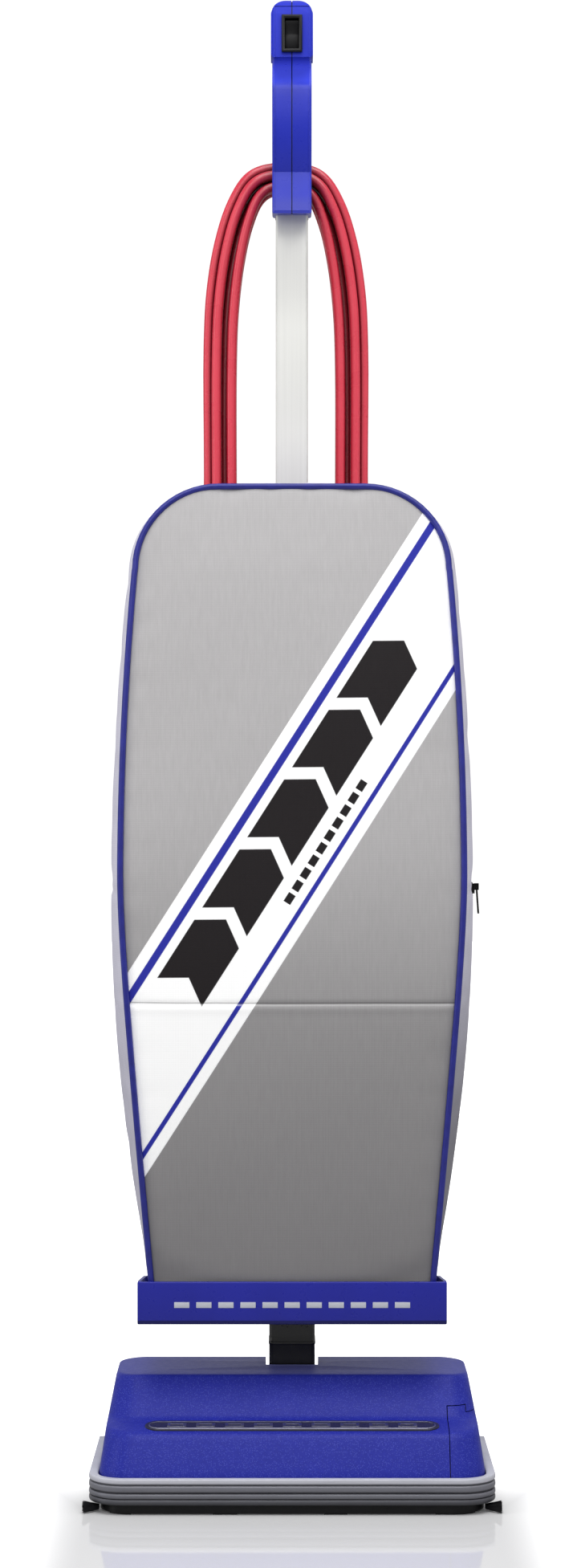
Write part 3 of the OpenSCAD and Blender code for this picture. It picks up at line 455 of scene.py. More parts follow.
def metal(name, colour, rough=0.3, streak=(1, 1, 1), tone=0.12, edge=0.3):
    """Metal with fine streaks along the short scale axis and slightly polished edges."""
    s = Shader(name)
    base = srgb(colour)
    lines = s.noise(900, 3, s.stretch(streak))
    dull = s.noise(60, 4)
    shade = s.blend(s.spread(lines, 0.3, 0.7), [c * (1 - tone) for c in base[:3]] + [1], list(base))
    s.set(
        Base_Color=s.blend(s.math("MULTIPLY", s.edge_wear(edge), 0.25), shade, (0.9, 0.9, 0.92, 1)),
        Metallic=1.0,
        Roughness=s.spread(dull, 0.3, 0.7, rough - 0.06, rough + 0.1),
        Normal=s.bump(lines, 0.015, 0.3, s.soft_edges(edge)),
    )
    return s.material


def rubber(name, colour, rough=0.7, edge=0.4):
    """Matt rubber with a dusty bloom and a fine moulded skin."""
    s = Shader(name)
    base = srgb(colour)
    bloom = s.noise(90, 5, roughness=0.65)
    s.set(
        Base_Color=s.blend(s.spread(bloom, 0.45, 0.75, 0, 0.16), list(base), (0.32, 0.31, 0.30, 1)),
        Roughness=s.spread(bloom, 0.3, 0.7, rough - 0.08, rough + 0.12),
        Normal=s.bump(s.noise(1900, 3), 0.03, 0.4, s.soft_edges(edge)),
    )
    return s.material


# ---------------------------------------------------------------- materials

def hood_blue():
    """Moulded blue with fine glittering flecks under a satin skin, and a painted pale sheen on the flat top deck."""
    s = Shader("hood_blue")
    base = list(srgb("262ea0"))
    drift = s.blend(s.spread(s.noise(28, 3), 0.3, 0.7), [c * 0.93 for c in base[:3]] + [1], base)
    fleck_near = s.cells(1000)
    pick = s.axes(s.cells(1000, "Color"))[0]
    fleck = s.math("MULTIPLY", s.math("LESS_THAN", fleck_near, 0.36), s.math("GREATER_THAN", pick, 0.5))
    mottle = s.spread(s.noise(600, 2), 0.35, 0.7, 0.0, 0.4)
    shade = s.blend(mottle, drift, [c * 0.68 for c in base[:3]] + [1])
    shade = s.blend(s.math("MULTIPLY", fleck, 0.34), shade, list(srgb("5f6ad2")))
    shade = s.blend(s.math("MULTIPLY", s.edge_wear(0.5), 0.06), shade, list(srgb("8f97e0")))
    grain = s.noise(1500, 2)
    s.set(
        Base_Color=shade,
        # painted sheen: a pale veil only on the top deck, above 89.5 mm, standing in for light caught at grazing
        # angles
        Sheen_Weight=s.spread(s.axes()[2], 0.0895, 0.0910, 0.0, 0.7),
        Sheen_Roughness=0.35,
        Sheen_Tint=list(srgb("a8abe4")),
        Specular_IOR_Level=0.16,
        Roughness=s.spread(s.noise(200, 3), 0.3, 0.7, 0.36, 0.46),
        Normal=s.bump(grain, 0.05, 0.4, s.soft_edges(0.4)),
    )
    return s.material


def satin_blue(name, colour):
    """Smooth satin blue with faint flow marks: the shader and its shade, for finishing."""
    s = Shader(name)
    base = list(srgb(colour))
    flow = s.noise(30, 3, s.stretch((1, 1, 0.25)))
    shade = s.blend(s.spread(flow, 0.3, 0.7), [c * 0.9 for c in base[:3]] + [1], base)
    shade = s.blend(s.math("MULTIPLY", s.edge_wear(0.6), 0.10), shade, list(srgb("98a0f0")))
    s.set(
        Specular_IOR_Level=0.3,
        Roughness=s.spread(s.noise(160, 4), 0.3, 0.7, 0.26, 0.34),
        Normal=s.bump(s.noise(1700, 2), 0.02, 0.3, s.soft_edges(0.5)),
    )
    return s, shade


def handle_blue():
    """Blue of the grip: a painted pale grey reflection on the foot, lower specular on the head, and a painted glow
    under the head that stands in for light caught there.
    """
    s, shade = satin_blue("handle_blue", "2a36c0")
    z = s.axes()[2]
    # painted reflection: the foot turns paler and greyer below 1062 mm
    shade = s.blend(s.spread(z, 1.050, 1.062, 0.25, 0.0, soft=True), shade, list(srgb("5a5c98")))
    # painted glow: blue emission between 1146 and 1171 mm lights the recess under the head
    under = s.math("MULTIPLY", s.spread(z, 1.146, 1.156, soft=True),
                   s.spread(z, 1.168, 1.171, 1.0, 0.0))
    s.set(
        Base_Color=shade,
        Emission_Color=(0.045, 0.06, 0.42, 1),
        Emission_Strength=s.math("MULTIPLY", under, 0.8),
        Specular_IOR_Level=s.spread(z, 1.168, 1.171, 0.26, 0.08),
    )
    return s.material


def tray_blue(painted_shade_below):
    """Blue of the tray, with painted shade on its bottom edge below a height given in metres."""
    s, shade = satin_blue("tray_blue", "262ba2")
    # painted shade: the tray's bottom edge goes near black blue below the given height
    rim = s.spread(s.axes()[2], painted_shade_below - 0.0004, painted_shade_below + 0.0004, 0.8, 0.0)
    s.set(Base_Color=s.blend(rim, shade, list(srgb("0a0b3c"))))
    return s.material


def bumper_grey():
    """Silver grey elastomer band, satin, with scuffs along its ribs, painted shade darkening the lower ribs and
    painted shade in the grooves.
    """
    s = Shader("bumper_grey")
    scuff = s.noise(60, 5, s.stretch((0.35, 0.35, 4)), 0.6)
    z = s.axes()[2]
    shade = s.blend(s.spread(scuff, 0.5, 0.75, 0, 0.4), list(srgb("cfd0da")), list(srgb("a6a7b0")))
    # painted shade: the lower ribs darken below 25.5 mm and darker still below 16 mm
    low = s.spread(z, 0.0215, 0.0255, 0.74, 0.0, soft=True)
    shade = s.blend(low, shade, list(srgb("3c3c46")))
    shade = s.blend(s.spread(z, 0.008, 0.016, 0.85, 0.0), shade, list(srgb("1c1c20")))
    # painted shade in the grooves between the ribs
    shade = s.blend(s.spread(s.openness(3), 0.4, 0.9, 0.45, 0.0), shade, list(srgb("2c2c32")))
    s.set(
        Base_Color=shade,
        Metallic=0.15,
        Specular_IOR_Level=0.35,
        Roughness=s.spread(scuff, 0.3, 0.7, 0.34, 0.5),
        Normal=s.bump(s.noise(1400, 2), 0.03, 0.4, s.soft_edges(0.4)),
    )
    return s.material


def tube_grey():
    """Pale grey lacquered steel tube with faint lengthways drawing lines, and painted shade under the grip and just
    above the bag.
    """
    s = Shader("tube_grey")
    lines = s.noise(500, 3, s.stretch((1, 1, 0.01)))
    z = s.axes()[2]
    shade = s.blend(s.spread(lines, 0.3, 0.7), list(srgb("e3e3df")), list(srgb("e9e9e5")))
    # painted shade under the grip: a dark band from 945 to 1030 mm
    upper = s.math("MULTIPLY", s.spread(z, 0.945, 0.99, soft=True),
                   s.spread(z, 1.0, 1.03, 0.16, 0.0, soft=True))
    shade = s.blend(upper, shade, list(srgb("6f6e76")))
    # painted shade just above the bag's top, fading out by 870 mm
    shade = s.blend(s.spread(z, 0.81, 0.87, 0.26, 0.0, soft=True), shade, list(srgb("6f6e76")))
    s.set(
        Base_Color=shade,
        Specular_IOR_Level=0.25,
        Roughness=s.spread(s.noise(90, 4), 0.3, 0.7, 0.42, 0.50),
        Normal=s.bump(lines, 0.01, 0.3),
    )
    return s.material


def cord_red():
    """Red vinyl jacket, glossy, with the faint twist of the cores under it, a painted highlight where it faces the
    viewer and painted shade in the gaps between turns.
    """
    s = Shader("cord_red")
    x, _, z = s.axes()
    twist = s.math("SINE", s.math("MULTIPLY", s.math("ADD", z, s.math("MULTIPLY", x, 0.6)), 2 * pi / 0.022))
    stain = s.noise(45, 4)
    shade = s.blend(s.spread(stain, 0.35, 0.7), list(srgb("dc2c45")), list(srgb("e4344c")))
    # painted highlight: paler pink where the cord faces the viewer
    shade = s.blend(s.spread(s.slant(), 0.04, 0.34, 0.34, 0.0, soft=True), shade, list(srgb("ff5f70")))
    # painted shade in the gaps between the cord's turns
    shade = s.blend(s.spread(s.openness(16), 0.35, 0.95, 0.9, 0.0), shade, list(srgb("6a0c18")))
    s.set(
        Base_Color=shade,
        Roughness=s.spread(stain, 0.3, 0.7, 0.24, 0.32),
        Normal=s.bump(twist, 0.05, 0.25),
        Coat_Weight=0.3,
        Coat_Roughness=0.15,
    )
    return s.material


def weave(s, u, v, thread_mm, ribs):
    """Height and shade of a ribbed plain weave on surface coordinates in metres."""
    k = 2 * pi / (thread_mm * MM)
    warp = s.math("SINE", s.math("MULTIPLY", u, k))
    weft = s.math("SINE", s.math("MULTIPLY", v, k * 0.8))
    return s.math("ADD", s.math("MULTIPLY", warp, ribs), s.math("MULTIPLY", weft, 1 - ribs))


def bag_cloth():
    """Coated grey weave with a printed slanting white band, two blue lines and plain black bars; painted shade darkens
    it towards the bottom, the white band carries a painted glow, and the fold has a painted shade line with a painted
    highlight just below it.
    """
    s = Shader("bag_cloth")
    uv = s.tree.nodes.new("ShaderNodeUVMap").outputs[0]
    u, v, _ = s.axes(uv)
    x, _, z = s.axes()
    threads = weave(s, u, v, 1.2, 0.6)
    streaks = s.noise(420, 3, s.vector(u, s.math("MULTIPLY", v, 0.12), 0.0), 0.6)
    cloud = s.noise(9, 3)
    grey = s.blend(s.spread(streaks, 0.3, 0.7), list(srgb("bbb9ba")), list(srgb("c2c0c1")))
    grey = s.blend(s.spread(threads, -1, 1, 0.0, 0.14), grey, list(srgb("8a8889")))
    # painted shade: the cloth darkens towards the bottom, from 560 mm down and more below 400 mm
    fade = s.spread(z, 0.36, 0.56, 0.42, 0.0, soft=True)
    grey = s.blend(fade, grey, list(srgb("6a6869")))
    grey = s.blend(s.spread(z, 0.16, 0.40, 0.30, 0.0), grey, list(srgb("545153")))
    grey = s.blend(s.spread(cloud, 0.35, 0.7, 0, 0.06), grey, list(srgb("8d8b8c")))

    # distance across the band, measured along x at one height, and along it
    rise = s.math("SUBTRACT", z, BAND_Z)
    across = s.math("SUBTRACT", x, s.math("MULTIPLY", rise, BAND_SLOPE))
    along = s.math("DIVIDE", s.math("ADD", s.math("MULTIPLY", x, BAND_SLOPE), rise), hypot(1, BAND_SLOPE))

    def span(value, low, high, soft=0.0004):
        up = s.spread(value, low - soft, low + soft)
        down = s.spread(value, high - soft, high + soft, 1.0, 0.0)
        return s.math("MULTIPLY", up, down)

    white = s.blend(s.spread(threads, -1, 1, 0.0, 0.10), (1.0, 1.0, 1.0, 1), (0.9, 0.9, 0.91, 1))
    # painted glow: the white band emits a little of its own colour
    glow = s.math("MULTIPLY", span(across, *BAND_EDGES), 0.18)
    colour = s.blend(span(across, *BAND_EDGES), grey, white)
    for low, high in BAND_LINES:
        colour = s.blend(span(across, low, high), colour, list(srgb("2a2f9c")))

    # plain chevrons and dashes in place of any printed mark
    middle = (BARS_ACROSS[0] + BARS_ACROSS[1]) / 2
    lean = s.math("MULTIPLY", s.math("ABSOLUTE", s.math("SUBTRACT", across, middle)), 0.55)
    start, end = BARS_ALONG
    step = (end - start) / BAR_COUNT
    shifted = s.math("ADD", s.math("SUBTRACT", along, start), lean)
    beat = s.math("FRACT", s.math("DIVIDE", shifted, step))
    run = span(shifted, 0.0, end - start, 0.0003)
    bars = s.math("MULTIPLY", s.math("MULTIPLY", run, span(beat, 0.01, BAR_SHARE, 0.006)),
                  span(across, *BARS_ACROSS))
    start, end = DASHES_ALONG
    beat = s.math("FRACT", s.math("DIVIDE", s.math("SUBTRACT", along, start), (end - start) / DASH_COUNT))
    dashes = s.math("MULTIPLY", s.math("MULTIPLY", span(along, start, end), span(beat, 0.02, 0.74, 0.02)),
                    span(across, *DASHES_ACROSS))
    inked = s.math("MAXIMUM", bars, dashes)
    colour = s.blend(inked, colour, list(srgb("1d191b")))
    # painted shade line along the fold, with a painted highlight line just below it
    crease = s.math("SUBTRACT", z, s.math("ADD", FOLD_Z * MM, s.math("MULTIPLY", s.noise(14, 1), 0.0012)))
    colour = s.blend(s.math("MULTIPLY", span(crease, -0.0004, 0.0004), 0.55), colour, list(srgb("3e3c3d")))
    colour = s.blend(s.math("MULTIPLY", span(crease, -0.0022, -0.0008), 0.3), colour, (0.9, 0.9, 0.9, 1))

    s.set(
        Base_Color=colour,
        Emission_Color=colour,
        Emission_Strength=glow,
        Specular_IOR_Level=0.2,
        Roughness=s.math("SUBTRACT", s.spread(streaks, 0.3, 0.7, 0.66, 0.74), s.math("MULTIPLY", inked, 0.1)),
        Normal=s.bump(threads, 0.08, 0.4),
    )
    return s.material


def gusset_cloth():
    """Paler weave of the bag's side panel and back, with painted shade on its lower part, stronger on the right side.
    """
    s = Shader("gusset_cloth")
    uv = s.tree.nodes.new("ShaderNodeUVMap").outputs[0]
    u, v, _ = s.axes(uv)
    threads = weave(s, u, v, 1.2, 0.6)
    streaks = s.noise(420, 3, s.vector(u, s.math("MULTIPLY", v, 0.12), 0.0), 0.6)
    x, _, z = s.axes()
    grey = s.blend(s.spread(streaks, 0.3, 0.7), list(srgb("dedcec")), list(srgb("e8e6f6")))
    grey = s.blend(s.spread(threads, -1, 1, 0.0, 0.14), grey, list(srgb("8f8e94")))
    # painted shade: the lower side panel darkens below 500 mm, more on the right side
    low = s.math("MULTIPLY", s.spread(z, 0.26, 0.50, 0.75, 0.0, soft=True),
                 s.spread(x, -0.05, 0.05, 0.3, 1.0))
    grey = s.blend(low, grey, list(srgb("5c5a5e")))
    s.set(
        Base_Color=grey,
        Specular_IOR_Level=0.2,
        Roughness=s.spread(streaks, 0.3, 0.7, 0.64, 0.72),
        Normal=s.bump(threads, 0.08, 0.4),
    )
    return s.material


def piping_blue():
    """Blue binding tape with slanting threads and a satin shine."""
    s = Shader("piping_blue")
    x, y, z = s.axes()
    twill = s.math("SINE", s.math("MULTIPLY", s.math("ADD", s.math("ADD", x, y), z), 2 * pi / 0.0011))
    shade = s.blend(s.spread(s.noise(120, 3), 0.3, 0.7), list(srgb("1e2380")), list(srgb("252a92")))
    s.set(
        Base_Color=shade,
        Specular_IOR_Level=0.45,
        Roughness=s.spread(s.noise(300, 2), 0.3, 0.7, 0.30, 0.38),
        Normal=s.bump(twill, 0.04, 0.4),
    )
    return s.material


def tyre_rubber():
    return rubber("tyre_rubber", "202022", 0.62)


def brush_wood():
    """Turned wood with long grain along the roll."""
    s = Shader("brush_wood")
    grain = s.noise(240, 5, s.stretch((0.08, 1, 1)), 0.6)
    rings = s.math("SINE", s.math("MULTIPLY", grain, 30))
    shade = s.blend(s.spread(rings, -1, 1), list(srgb("b98a52")), list(srgb("8c6236")))
    s.set(Base_Color=shade, Roughness=0.55, Normal=s.bump(grain, 0.15, 0.5, s.soft_edges(0.3)))
    return s.material


def bristle():
    """Dark nylon with lighter scattered fibres."""
    s = Shader("bristle")
    fibre = s.noise(2500, 2)
    shade = s.blend(s.spread(fibre, 0.5, 0.8), list(srgb("17171a")), list(srgb("4b4b52")))
    s.set(Base_Color=shade, Roughness=0.45, Normal=s.bump(fibre, 0.08, 0.5))
    return s.material


def paper():
    """Brown filter paper with fibres and soft creases."""
    s = Shader("filter_paper")
    fibre = s.noise(420, 6, s.stretch((1, 1, 0.3)), 0.7)
    crease = s.noise(26, 4)
    shade = s.blend(s.spread(fibre, 0.3, 0.7), list(srgb("c4a878")), list(srgb("d8c39a")))
    height = s.math("ADD", s.math("MULTIPLY", crease, 6.0), fibre)
    s.set(Base_Color=shade, Roughness=0.85, Normal=s.bump(height, 0.3, 0.5))
    return s.material


def cardboard():
    """Pressed board collar with fibres and softly rounded edges."""
    s = Shader("cardboard")
    fibre = s.noise(700, 5, roughness=0.7)
    shade = s.blend(s.spread(fibre, 0.3, 0.7), list(srgb("a98c5e")), list(srgb("c4a878")))
    s.set(Base_Color=shade, Roughness=0.9, Normal=s.bump(fibre, 0.1, 0.6, s.soft_edges(0.3)))
    return s.material


def copper():
    """Wound copper: fine parallel wires under varnish."""
    s = Shader("copper")
    x, y, _ = s.axes()
    wires = s.math("SINE", s.math("MULTIPLY", s.math("ADD", x, s.math("MULTIPLY", y, 0.3)), 2 * pi / 0.0012))
    shade = s.blend(s.spread(wires, -1, 1), list(srgb("6e3a1c")), list(srgb("c07a48")))
    s.set(Base_Color=shade, Metallic=0.9, Roughness=0.32, Coat_Weight=0.4,
          Normal=s.bump(wires, 0.15, 0.6, s.soft_edges(0.3)))
    return s.material


# ---------------------------------------------------------------- dust bag: shape of the filled bag

BAG_TOP = 814
CORNER_Z = 744            # where the top corner arcs start
CORNER_R = 70
WAIST_Z = 503             # widest level
FOLD_Z = 396              # the sewn cross fold of the front panel
TRAY_Z = 173              # top edge of the tray that holds the bag's foot
ZIP_TOP = 490             # the zip follows an arc on the side panel, from this level down
ZIP_RADIUS = 1620.0
ZIP_CENTRE_X = 145.8 - ZIP_RADIUS
FOOT_Z = 145


def bag_half_width(z):
    """Half width over the front seam at height z."""
    if z > CORNER_Z:
        rise = min(z - CORNER_Z, CORNER_R)
        return 129.3 - CORNER_R + sqrt(CORNER_R ** 2 - rise ** 2)
    if z > WAIST_Z:
        return 139.4 - (z - WAIST_Z) ** 2 / 5916
    return 139.4 - 0.084 * (hypot(WAIST_Z - z, 50) - 50)


def bag_front(z):
    """Depth of the front seam at height z."""
    if z < 180:
        return -46.0
    if z < FOLD_Z:
        return -70 + 24 * ((FOLD_Z - z) / 216) ** 1.6
    return -70 + 62 * ((z - FOLD_Z) / 416) ** 1.5


def bag_back(z):
    return mix(57.3, 61.0, ease((z - 176) / 20))


def bag_side_bulge(z):
    """How far the side panel stands outside the front seam, at mid depth."""
    if z < 495:
        reach = ZIP_CENTRE_X + sqrt(ZIP_RADIUS ** 2 - (z - ZIP_TOP) ** 2)
        return max(reach - bag_half_width(z), 1.0)
    return mix(6.54, 3.0, min(1.0, (z - 495) / 300))


def bag_rows():
    """Heights of the mesh rows: even on the flanks, close at the fold, even along the corner arc."""
    rows = list(np.arange(FOOT_Z, 384, 8.5))
    rows += [388, 391.5, 394, 396, 398.5, 402, 407]
    rows += list(np.linspace(415, CORNER_Z - 8, 38))
    rows += [CORNER_Z + CORNER_R * sin(radians(a)) for a in np.linspace(0, 90, 13)]
    return rows


def build_bag_cage(name, columns, depth_cells):
    """Closed quad cage of the bag. Returns the object and the seam vertices' indices."""
    rows = bag_rows()
    last = len(rows) - 1
    index = {}
    verts = []
    pinned = []

    def vertex(c, d, r):
        key = (c, d, r)
        if key in index:
            return index[key]
        z = rows[r]
        s = 2 * c / columns - 1
        t = d / depth_cells
        half = bag_half_width(z) - 1.5
        y0 = bag_front(z)
        y1 = bag_back(z) - 1.0
        if c in (0, columns):
            belly = (bag_side_bulge(z) + 0.5) * (1 - (2 * t - 1) ** 2) ** 0.8
            x = s * (half + belly)
        else:
            x = s * half
        y = mix(y0, y1, t)
        if d == 0:
            y -= 4.0 * (1 - s * s) * min(1, (BAG_TOP - z) / 80 + 0.15)
        if r == last:
            z = BAG_TOP - 1.0 + 1.2 * (1 - (2 * t - 1) ** 2) * (1 - s ** 4)
        index[key] = len(verts)
        verts.append((x, y, z))
        edges = (c in (0, columns)) + (d in (0, depth_cells)) + (r in (0, last))
        if edges >= 2 and (c in (0, columns) and d in (0, depth_cells) or r == last) or z < TRAY_Z + 3:
            pinned.append(index[key])
        return index[key]

    faces = []
    tags = []

    def quad(corners, tag):
        faces.append(tuple(vertex(*k) for k in corners))
        tags.append(tag)

    for r in range(last):
        for c in range(columns):
            quad([(c, 0, r), (c + 1, 0, r), (c + 1, 0, r + 1), (c, 0, r + 1)], 0)
            quad([(c + 1, depth_cells, r), (c, depth_cells, r), (c, depth_cells, r + 1),
                  (c + 1, depth_cells, r + 1)], 1)
        for d in range(depth_cells):
            quad([(0, d + 1, r), (0, d, r), (0, d, r + 1), (0, d + 1, r + 1)], 1)
            quad([(columns, d, r), (columns, d + 1, r), (columns, d + 1, r + 1), (columns, d, r + 1)], 1)
    for c in range(columns):
        for d in range(depth_cells):
            quad([(c, d, last), (c + 1, d, last), (c + 1, d + 1, last), (c, d + 1, last)], 1)
            quad([(c + 1, d, 0), (c, d, 0), (c, d + 1, 0), (c + 1, d + 1, 0)], 1)
    obj = new_object(name, verts, faces)
    for polygon, tag in zip(obj.data.polygons, tags):
        polygon.material_index = tag
    return obj, pinned


def inflate(obj, pinned, pressure, cap_mm, frames=20):
    """Cloth simulation with inner pressure and no gravity, capped and applied to the mesh."""
    before = np.empty(len(obj.data.vertices) * 3)
    obj.data.vertices.foreach_get("co", before)
    group = obj.vertex_groups.new(name="seams")
    group.add(pinned, 1.0, "REPLACE")
    mod = obj.modifiers.new("cloth", "CLOTH")
    settings = mod.settings
    settings.quality = 6
    settings.mass = 0.25
    settings.tension_stiffness = 25
    settings.compression_stiffness = 25
    settings.shear_stiffness = 8
    settings.bending_stiffness = 0.6
    settings.use_pressure = True
    settings.uniform_pressure_force = pressure
    settings.effector_weights.gravity = 0
    settings.vertex_group_mass = group.name
    settings.pin_stiffness = 1.0
    settings.shrink_min = -0.012
    mod.collision_settings.use_collision = False
    mod.point_cache.frame_start = 1
    mod.point_cache.frame_end = frames
    scene = bpy.context.scene
    for f in range(1, frames + 1):
        scene.frame_set(f)
    bake(obj)
    scene.frame_set(1)
    after = np.empty_like(before)
    obj.data.vertices.foreach_get("co", after)
    shift = (after - before).reshape(-1, 3)
    length = np.linalg.norm(shift, axis=1, keepdims=True)
    cap = cap_mm * MM
    soft = cap * np.tanh(length / cap) / np.maximum(length, 1e-12)
    obj.data.vertices.foreach_set("co", (before.reshape(-1, 3) + shift * soft).ravel())
    obj.vertex_groups.clear()
    return obj


def subdivide(obj, levels=1):
    mod = obj.modifiers.new("subdivision", "SUBSURF")
    mod.levels = levels
    mod.render_levels = levels
    return bake(obj)


def sew_details(obj):
    """Fold of the front panel, seams of the side panels and slight slack, as vertex moves."""
    flat = np.empty(len(obj.data.vertices) * 3)
    obj.data.vertices.foreach_get("co", flat)
    p = flat.reshape(-1, 3) / MM
    x, y, z = p[:, 0], p[:, 1], p[:, 2]
    seam_y = np.array([bag_front(v) for v in z])
    half = np.array([bag_half_width(min(v, BAG_TOP)) for v in z])
    front = np.clip((seam_y + 4 - y) / 5, 0, 1) * (np.abs(x) < half - 1.2)
    fold = z - FOLD_Z
    y += front * (1.1 * np.exp(-(fold / 1.6) ** 2) - 0.5 * np.exp(-((fold + 4.5) / 3.0) ** 2))
    inner = np.clip((half - np.abs(x)) / 30, 0, 1)
    slack = np.sin(z / 47.0 + x / 90.0) * np.sin(x / 60.0 + 0.7) + 0.6 * np.sin(z / 23.0 - x / 37.0)
    y -= front * inner * 0.35 * slack
    side = (np.abs(x) > half - 0.5) & (z < CORNER_Z)
    dent = 1.0 * np.exp(-((z - 484) / 2.2) ** 2) + 0.12 * np.sin(z / 41.0) * np.sin(y / 23.0)
    x -= np.sign(x) * side * dent
    # the strip under the zip stays on the zip's own arc
    arc = ZIP_CENTRE_X + np.sqrt(ZIP_RADIUS ** 2 - np.clip(z - ZIP_TOP, -400, 0) ** 2)
    limit = arc + 4 * np.clip((np.abs(y) - 9) / 15, 0, 1)
    held = side & (z < ZIP_TOP + 12)
    x[held] = np.sign(x[held]) * np.minimum(np.abs(x[held]), limit[held])
    obj.data.vertices.foreach_set("co", (np.stack([x, y, z], 1) * MM).ravel())
    obj.data.update()
    return obj


def lay_cloth_coordinates(obj):
    """Weave coordinates: across and along each panel, in metres."""
    layer = obj.data.uv_layers.get("UVMap") or obj.data.uv_layers.new(name="UVMap")
    for polygon in obj.data.polygons:
        n = polygon.normal
        main = max(range(3), key=lambda i: abs(n[i]))
        for i in polygon.loop_indices:
            p = obj.data.vertices[obj.data.loops[i].vertex_index].co
            layer.data[i].uv = (p.y, p.z) if main == 0 else (p.x, p.z) if main == 1 else (p.x, p.y)
    return obj


def outer_bag():
    bag, seams = build_bag_cage("bag_shell", 28, 10)
    inflate(bag, seams, 4.0, 2.4)
    subdivide(bag)
    sew_details(bag)
    lay_cloth_coordinates(bag)
    bag.data.materials.append(bag_cloth())
    bag.data.materials.append(gusset_cloth())
    return place(bag, "handle", None, "bag_cloth", "outer_bag", angle=50)


def seam_path(inset, forward):
    """Path of the front seam from the left foot over the top to the right foot."""
    flank = list(np.arange(FOOT_Z + 3, CORNER_Z, 6.0))
    left = [(-(bag_half_width(z) - inset), bag_front(z) - forward, z) for z in flank]
    arc = []
    r = CORNER_R - inset
    for a in range(0, 91, 6):
        z = CORNER_Z + r * sin(radians(a))
        arc.append((-(129.3 - CORNER_R + r * cos(radians(a))), bag_front(z) - forward, z))
    top_x = 129.3 - CORNER_R
    top = [(x, arc[-1][1], arc[-1][2]) for x in np.linspace(-top_x + 8, top_x - 8, 16)]
    mirrored = [(-x, y, z) for x, y, z in reversed(left + arc)]
    return left + arc + top + mirrored


def bag_piping():
    cord = tube_along("bag_piping_cord", seam_path(2.6, 1.4), 2.5, sides=14)
    return place(cord, "handle", piping_blue(), "bag_piping", "bag_piping", angle=60)


# ---------------------------------------------------------------- tray, neck and tube

def bag_tray():
    """Moulded tray that carries the bag: rounded outer box, hollow inside, with an opening in its floor and a sloping
    top.
    """
    low, high = box_mm("bag_tray")
    wall, floor = 2.5, 3.0
    tray = bevel(block("tray", low, high), 1.0, 3)
    hollow = block("tray_hollow", (low.x + wall, low.y + wall, low.z + floor),
                   (high.x - wall, high.y - wall, high.z + 5))
    boolean(tray, bevel(hollow, 1.5, 3))
    opening = block("tray_opening", (-25, 3, low.z - 5), (25, 49, low.z + floor + 5))
    boolean(tray, opening)
    rear_top = 160
    slope = [(low.y + 5, high.z), (high.y + 1, rear_top), (high.y + 1, 260), (low.y + 5, 260)]
    boolean(tray, side_plate("tray_slope", [slope], 200))
    # the tray gets painted shade on its lowest 3.2 mm
    material = tray_blue((low.z + 3.2) * MM)
    return place(tray, "handle", material, "handle_blue", "bag_tray")


def tray_dashes():
    """Row of plain pale dashes along the tray's front."""
    low, high = box_mm("bag_tray")
    material = plastic("dash_print", "c9ccd6", 0.45, edge=0.2)
    count, pitch, width, height, middle = 11, 17.6, 12.2, 4.6, 154.6
    dashes = []
    for i in range(count):
        x = (i - (count - 1) / 2) * pitch
        dash = block(f"dash_{i}", (x - width / 2, low.y - 0.25, middle - height / 2),
                     (x + width / 2, low.y + 0.4, middle + height / 2))
        dashes.append(bevel(dash, 0.18, 2))
    return place(join("tray_dashes", dashes), "handle", material, "badge_grey")


def neck_ring(z, grow=0.0, radius=4.0):
    """Outline of the neck's duct at height z."""
    low, high = -18.7 - grow, 18.7 + grow
    return [(x, y, z) for x, y in rounded_outline(low, high, 8 - grow, 44 + grow, radius + grow, 6)]


def swivel_neck():
    """Glossy neck: oval pivot drum, square duct with a bead, ribs under the tray and its flange."""
    bottom = [(z, 0.0) for z in (72, 100, 111.5)]
    bead = [(112.6, 0.35), (113.4, 0.5), (114.2, 0.35), (114.9, 0.0)]
    top = [(z, 0.0) for z in (120, 128, 135.9)]
    duct = loft("neck_duct", [neck_ring(z, g) for z, g in bottom + bead + top])
    inner = loft("neck_bore", [
        [(x, y, z) for x, y in rounded_outline(-15.7, 15.7, 11, 41, 3, 6)] for z in (60, 150)
    ])
    drum = rod("neck_drum", (-20.5, 26, 62), (20.5, 26, 62), 19, 48, 1.2)
    boolean(duct, drum, "UNION")
    boolean(duct, inner)
    for x0, x1, radius in ((-18, 18, 16.5), (17, 22, 14.2), (-22, -17, 8.2)):
        boolean(duct, rod("neck_pivot_bore", (x0, 26, 62), (x1, 26, 62), radius, 64))
    flange = bevel(block("neck_flange", (-26, 2, 135.8), (26, 50, 138.8)), 0.8, 2)
    spigot = loft("neck_spigot", [
        [(x, y, z) for x, y in rounded_outline(-18.7, 18.7, 8, 44, 4, 6)] for z in (138.7, 186)
    ])
    boolean(spigot, loft("spigot_bore", [
        [(x, y, z) for x, y in rounded_outline(-15.7, 15.7, 11, 41, 3, 6)] for z in (130, 190)
    ]))
    ribs = []
    for i in range(9):
        x = -16 + 4 * i
        drop = 6.5 + 3.0 * ((i * 5) % 4) / 3
        ribs.append(bevel(block(f"rib_{i}", (x - 0.9, 6.6, 135.9 - drop), (x + 0.9, 9.5, 135.9)), 0.5, 2))
        ribs.append(bevel(block(f"rear_rib_{i}", (x - 0.9, 42.5, 129), (x + 0.9, 45.4, 135.9)), 0.5, 2))
    neck = join("swivel_neck_shell", [duct, flange, spigot] + ribs)
    material = plastic("neck_black", "19191b", 0.22, 1800, 0.02, 0.1, 0.6, gloss=0.35)
    return place(neck, "handle", material, "neck_black", "swivel_neck")


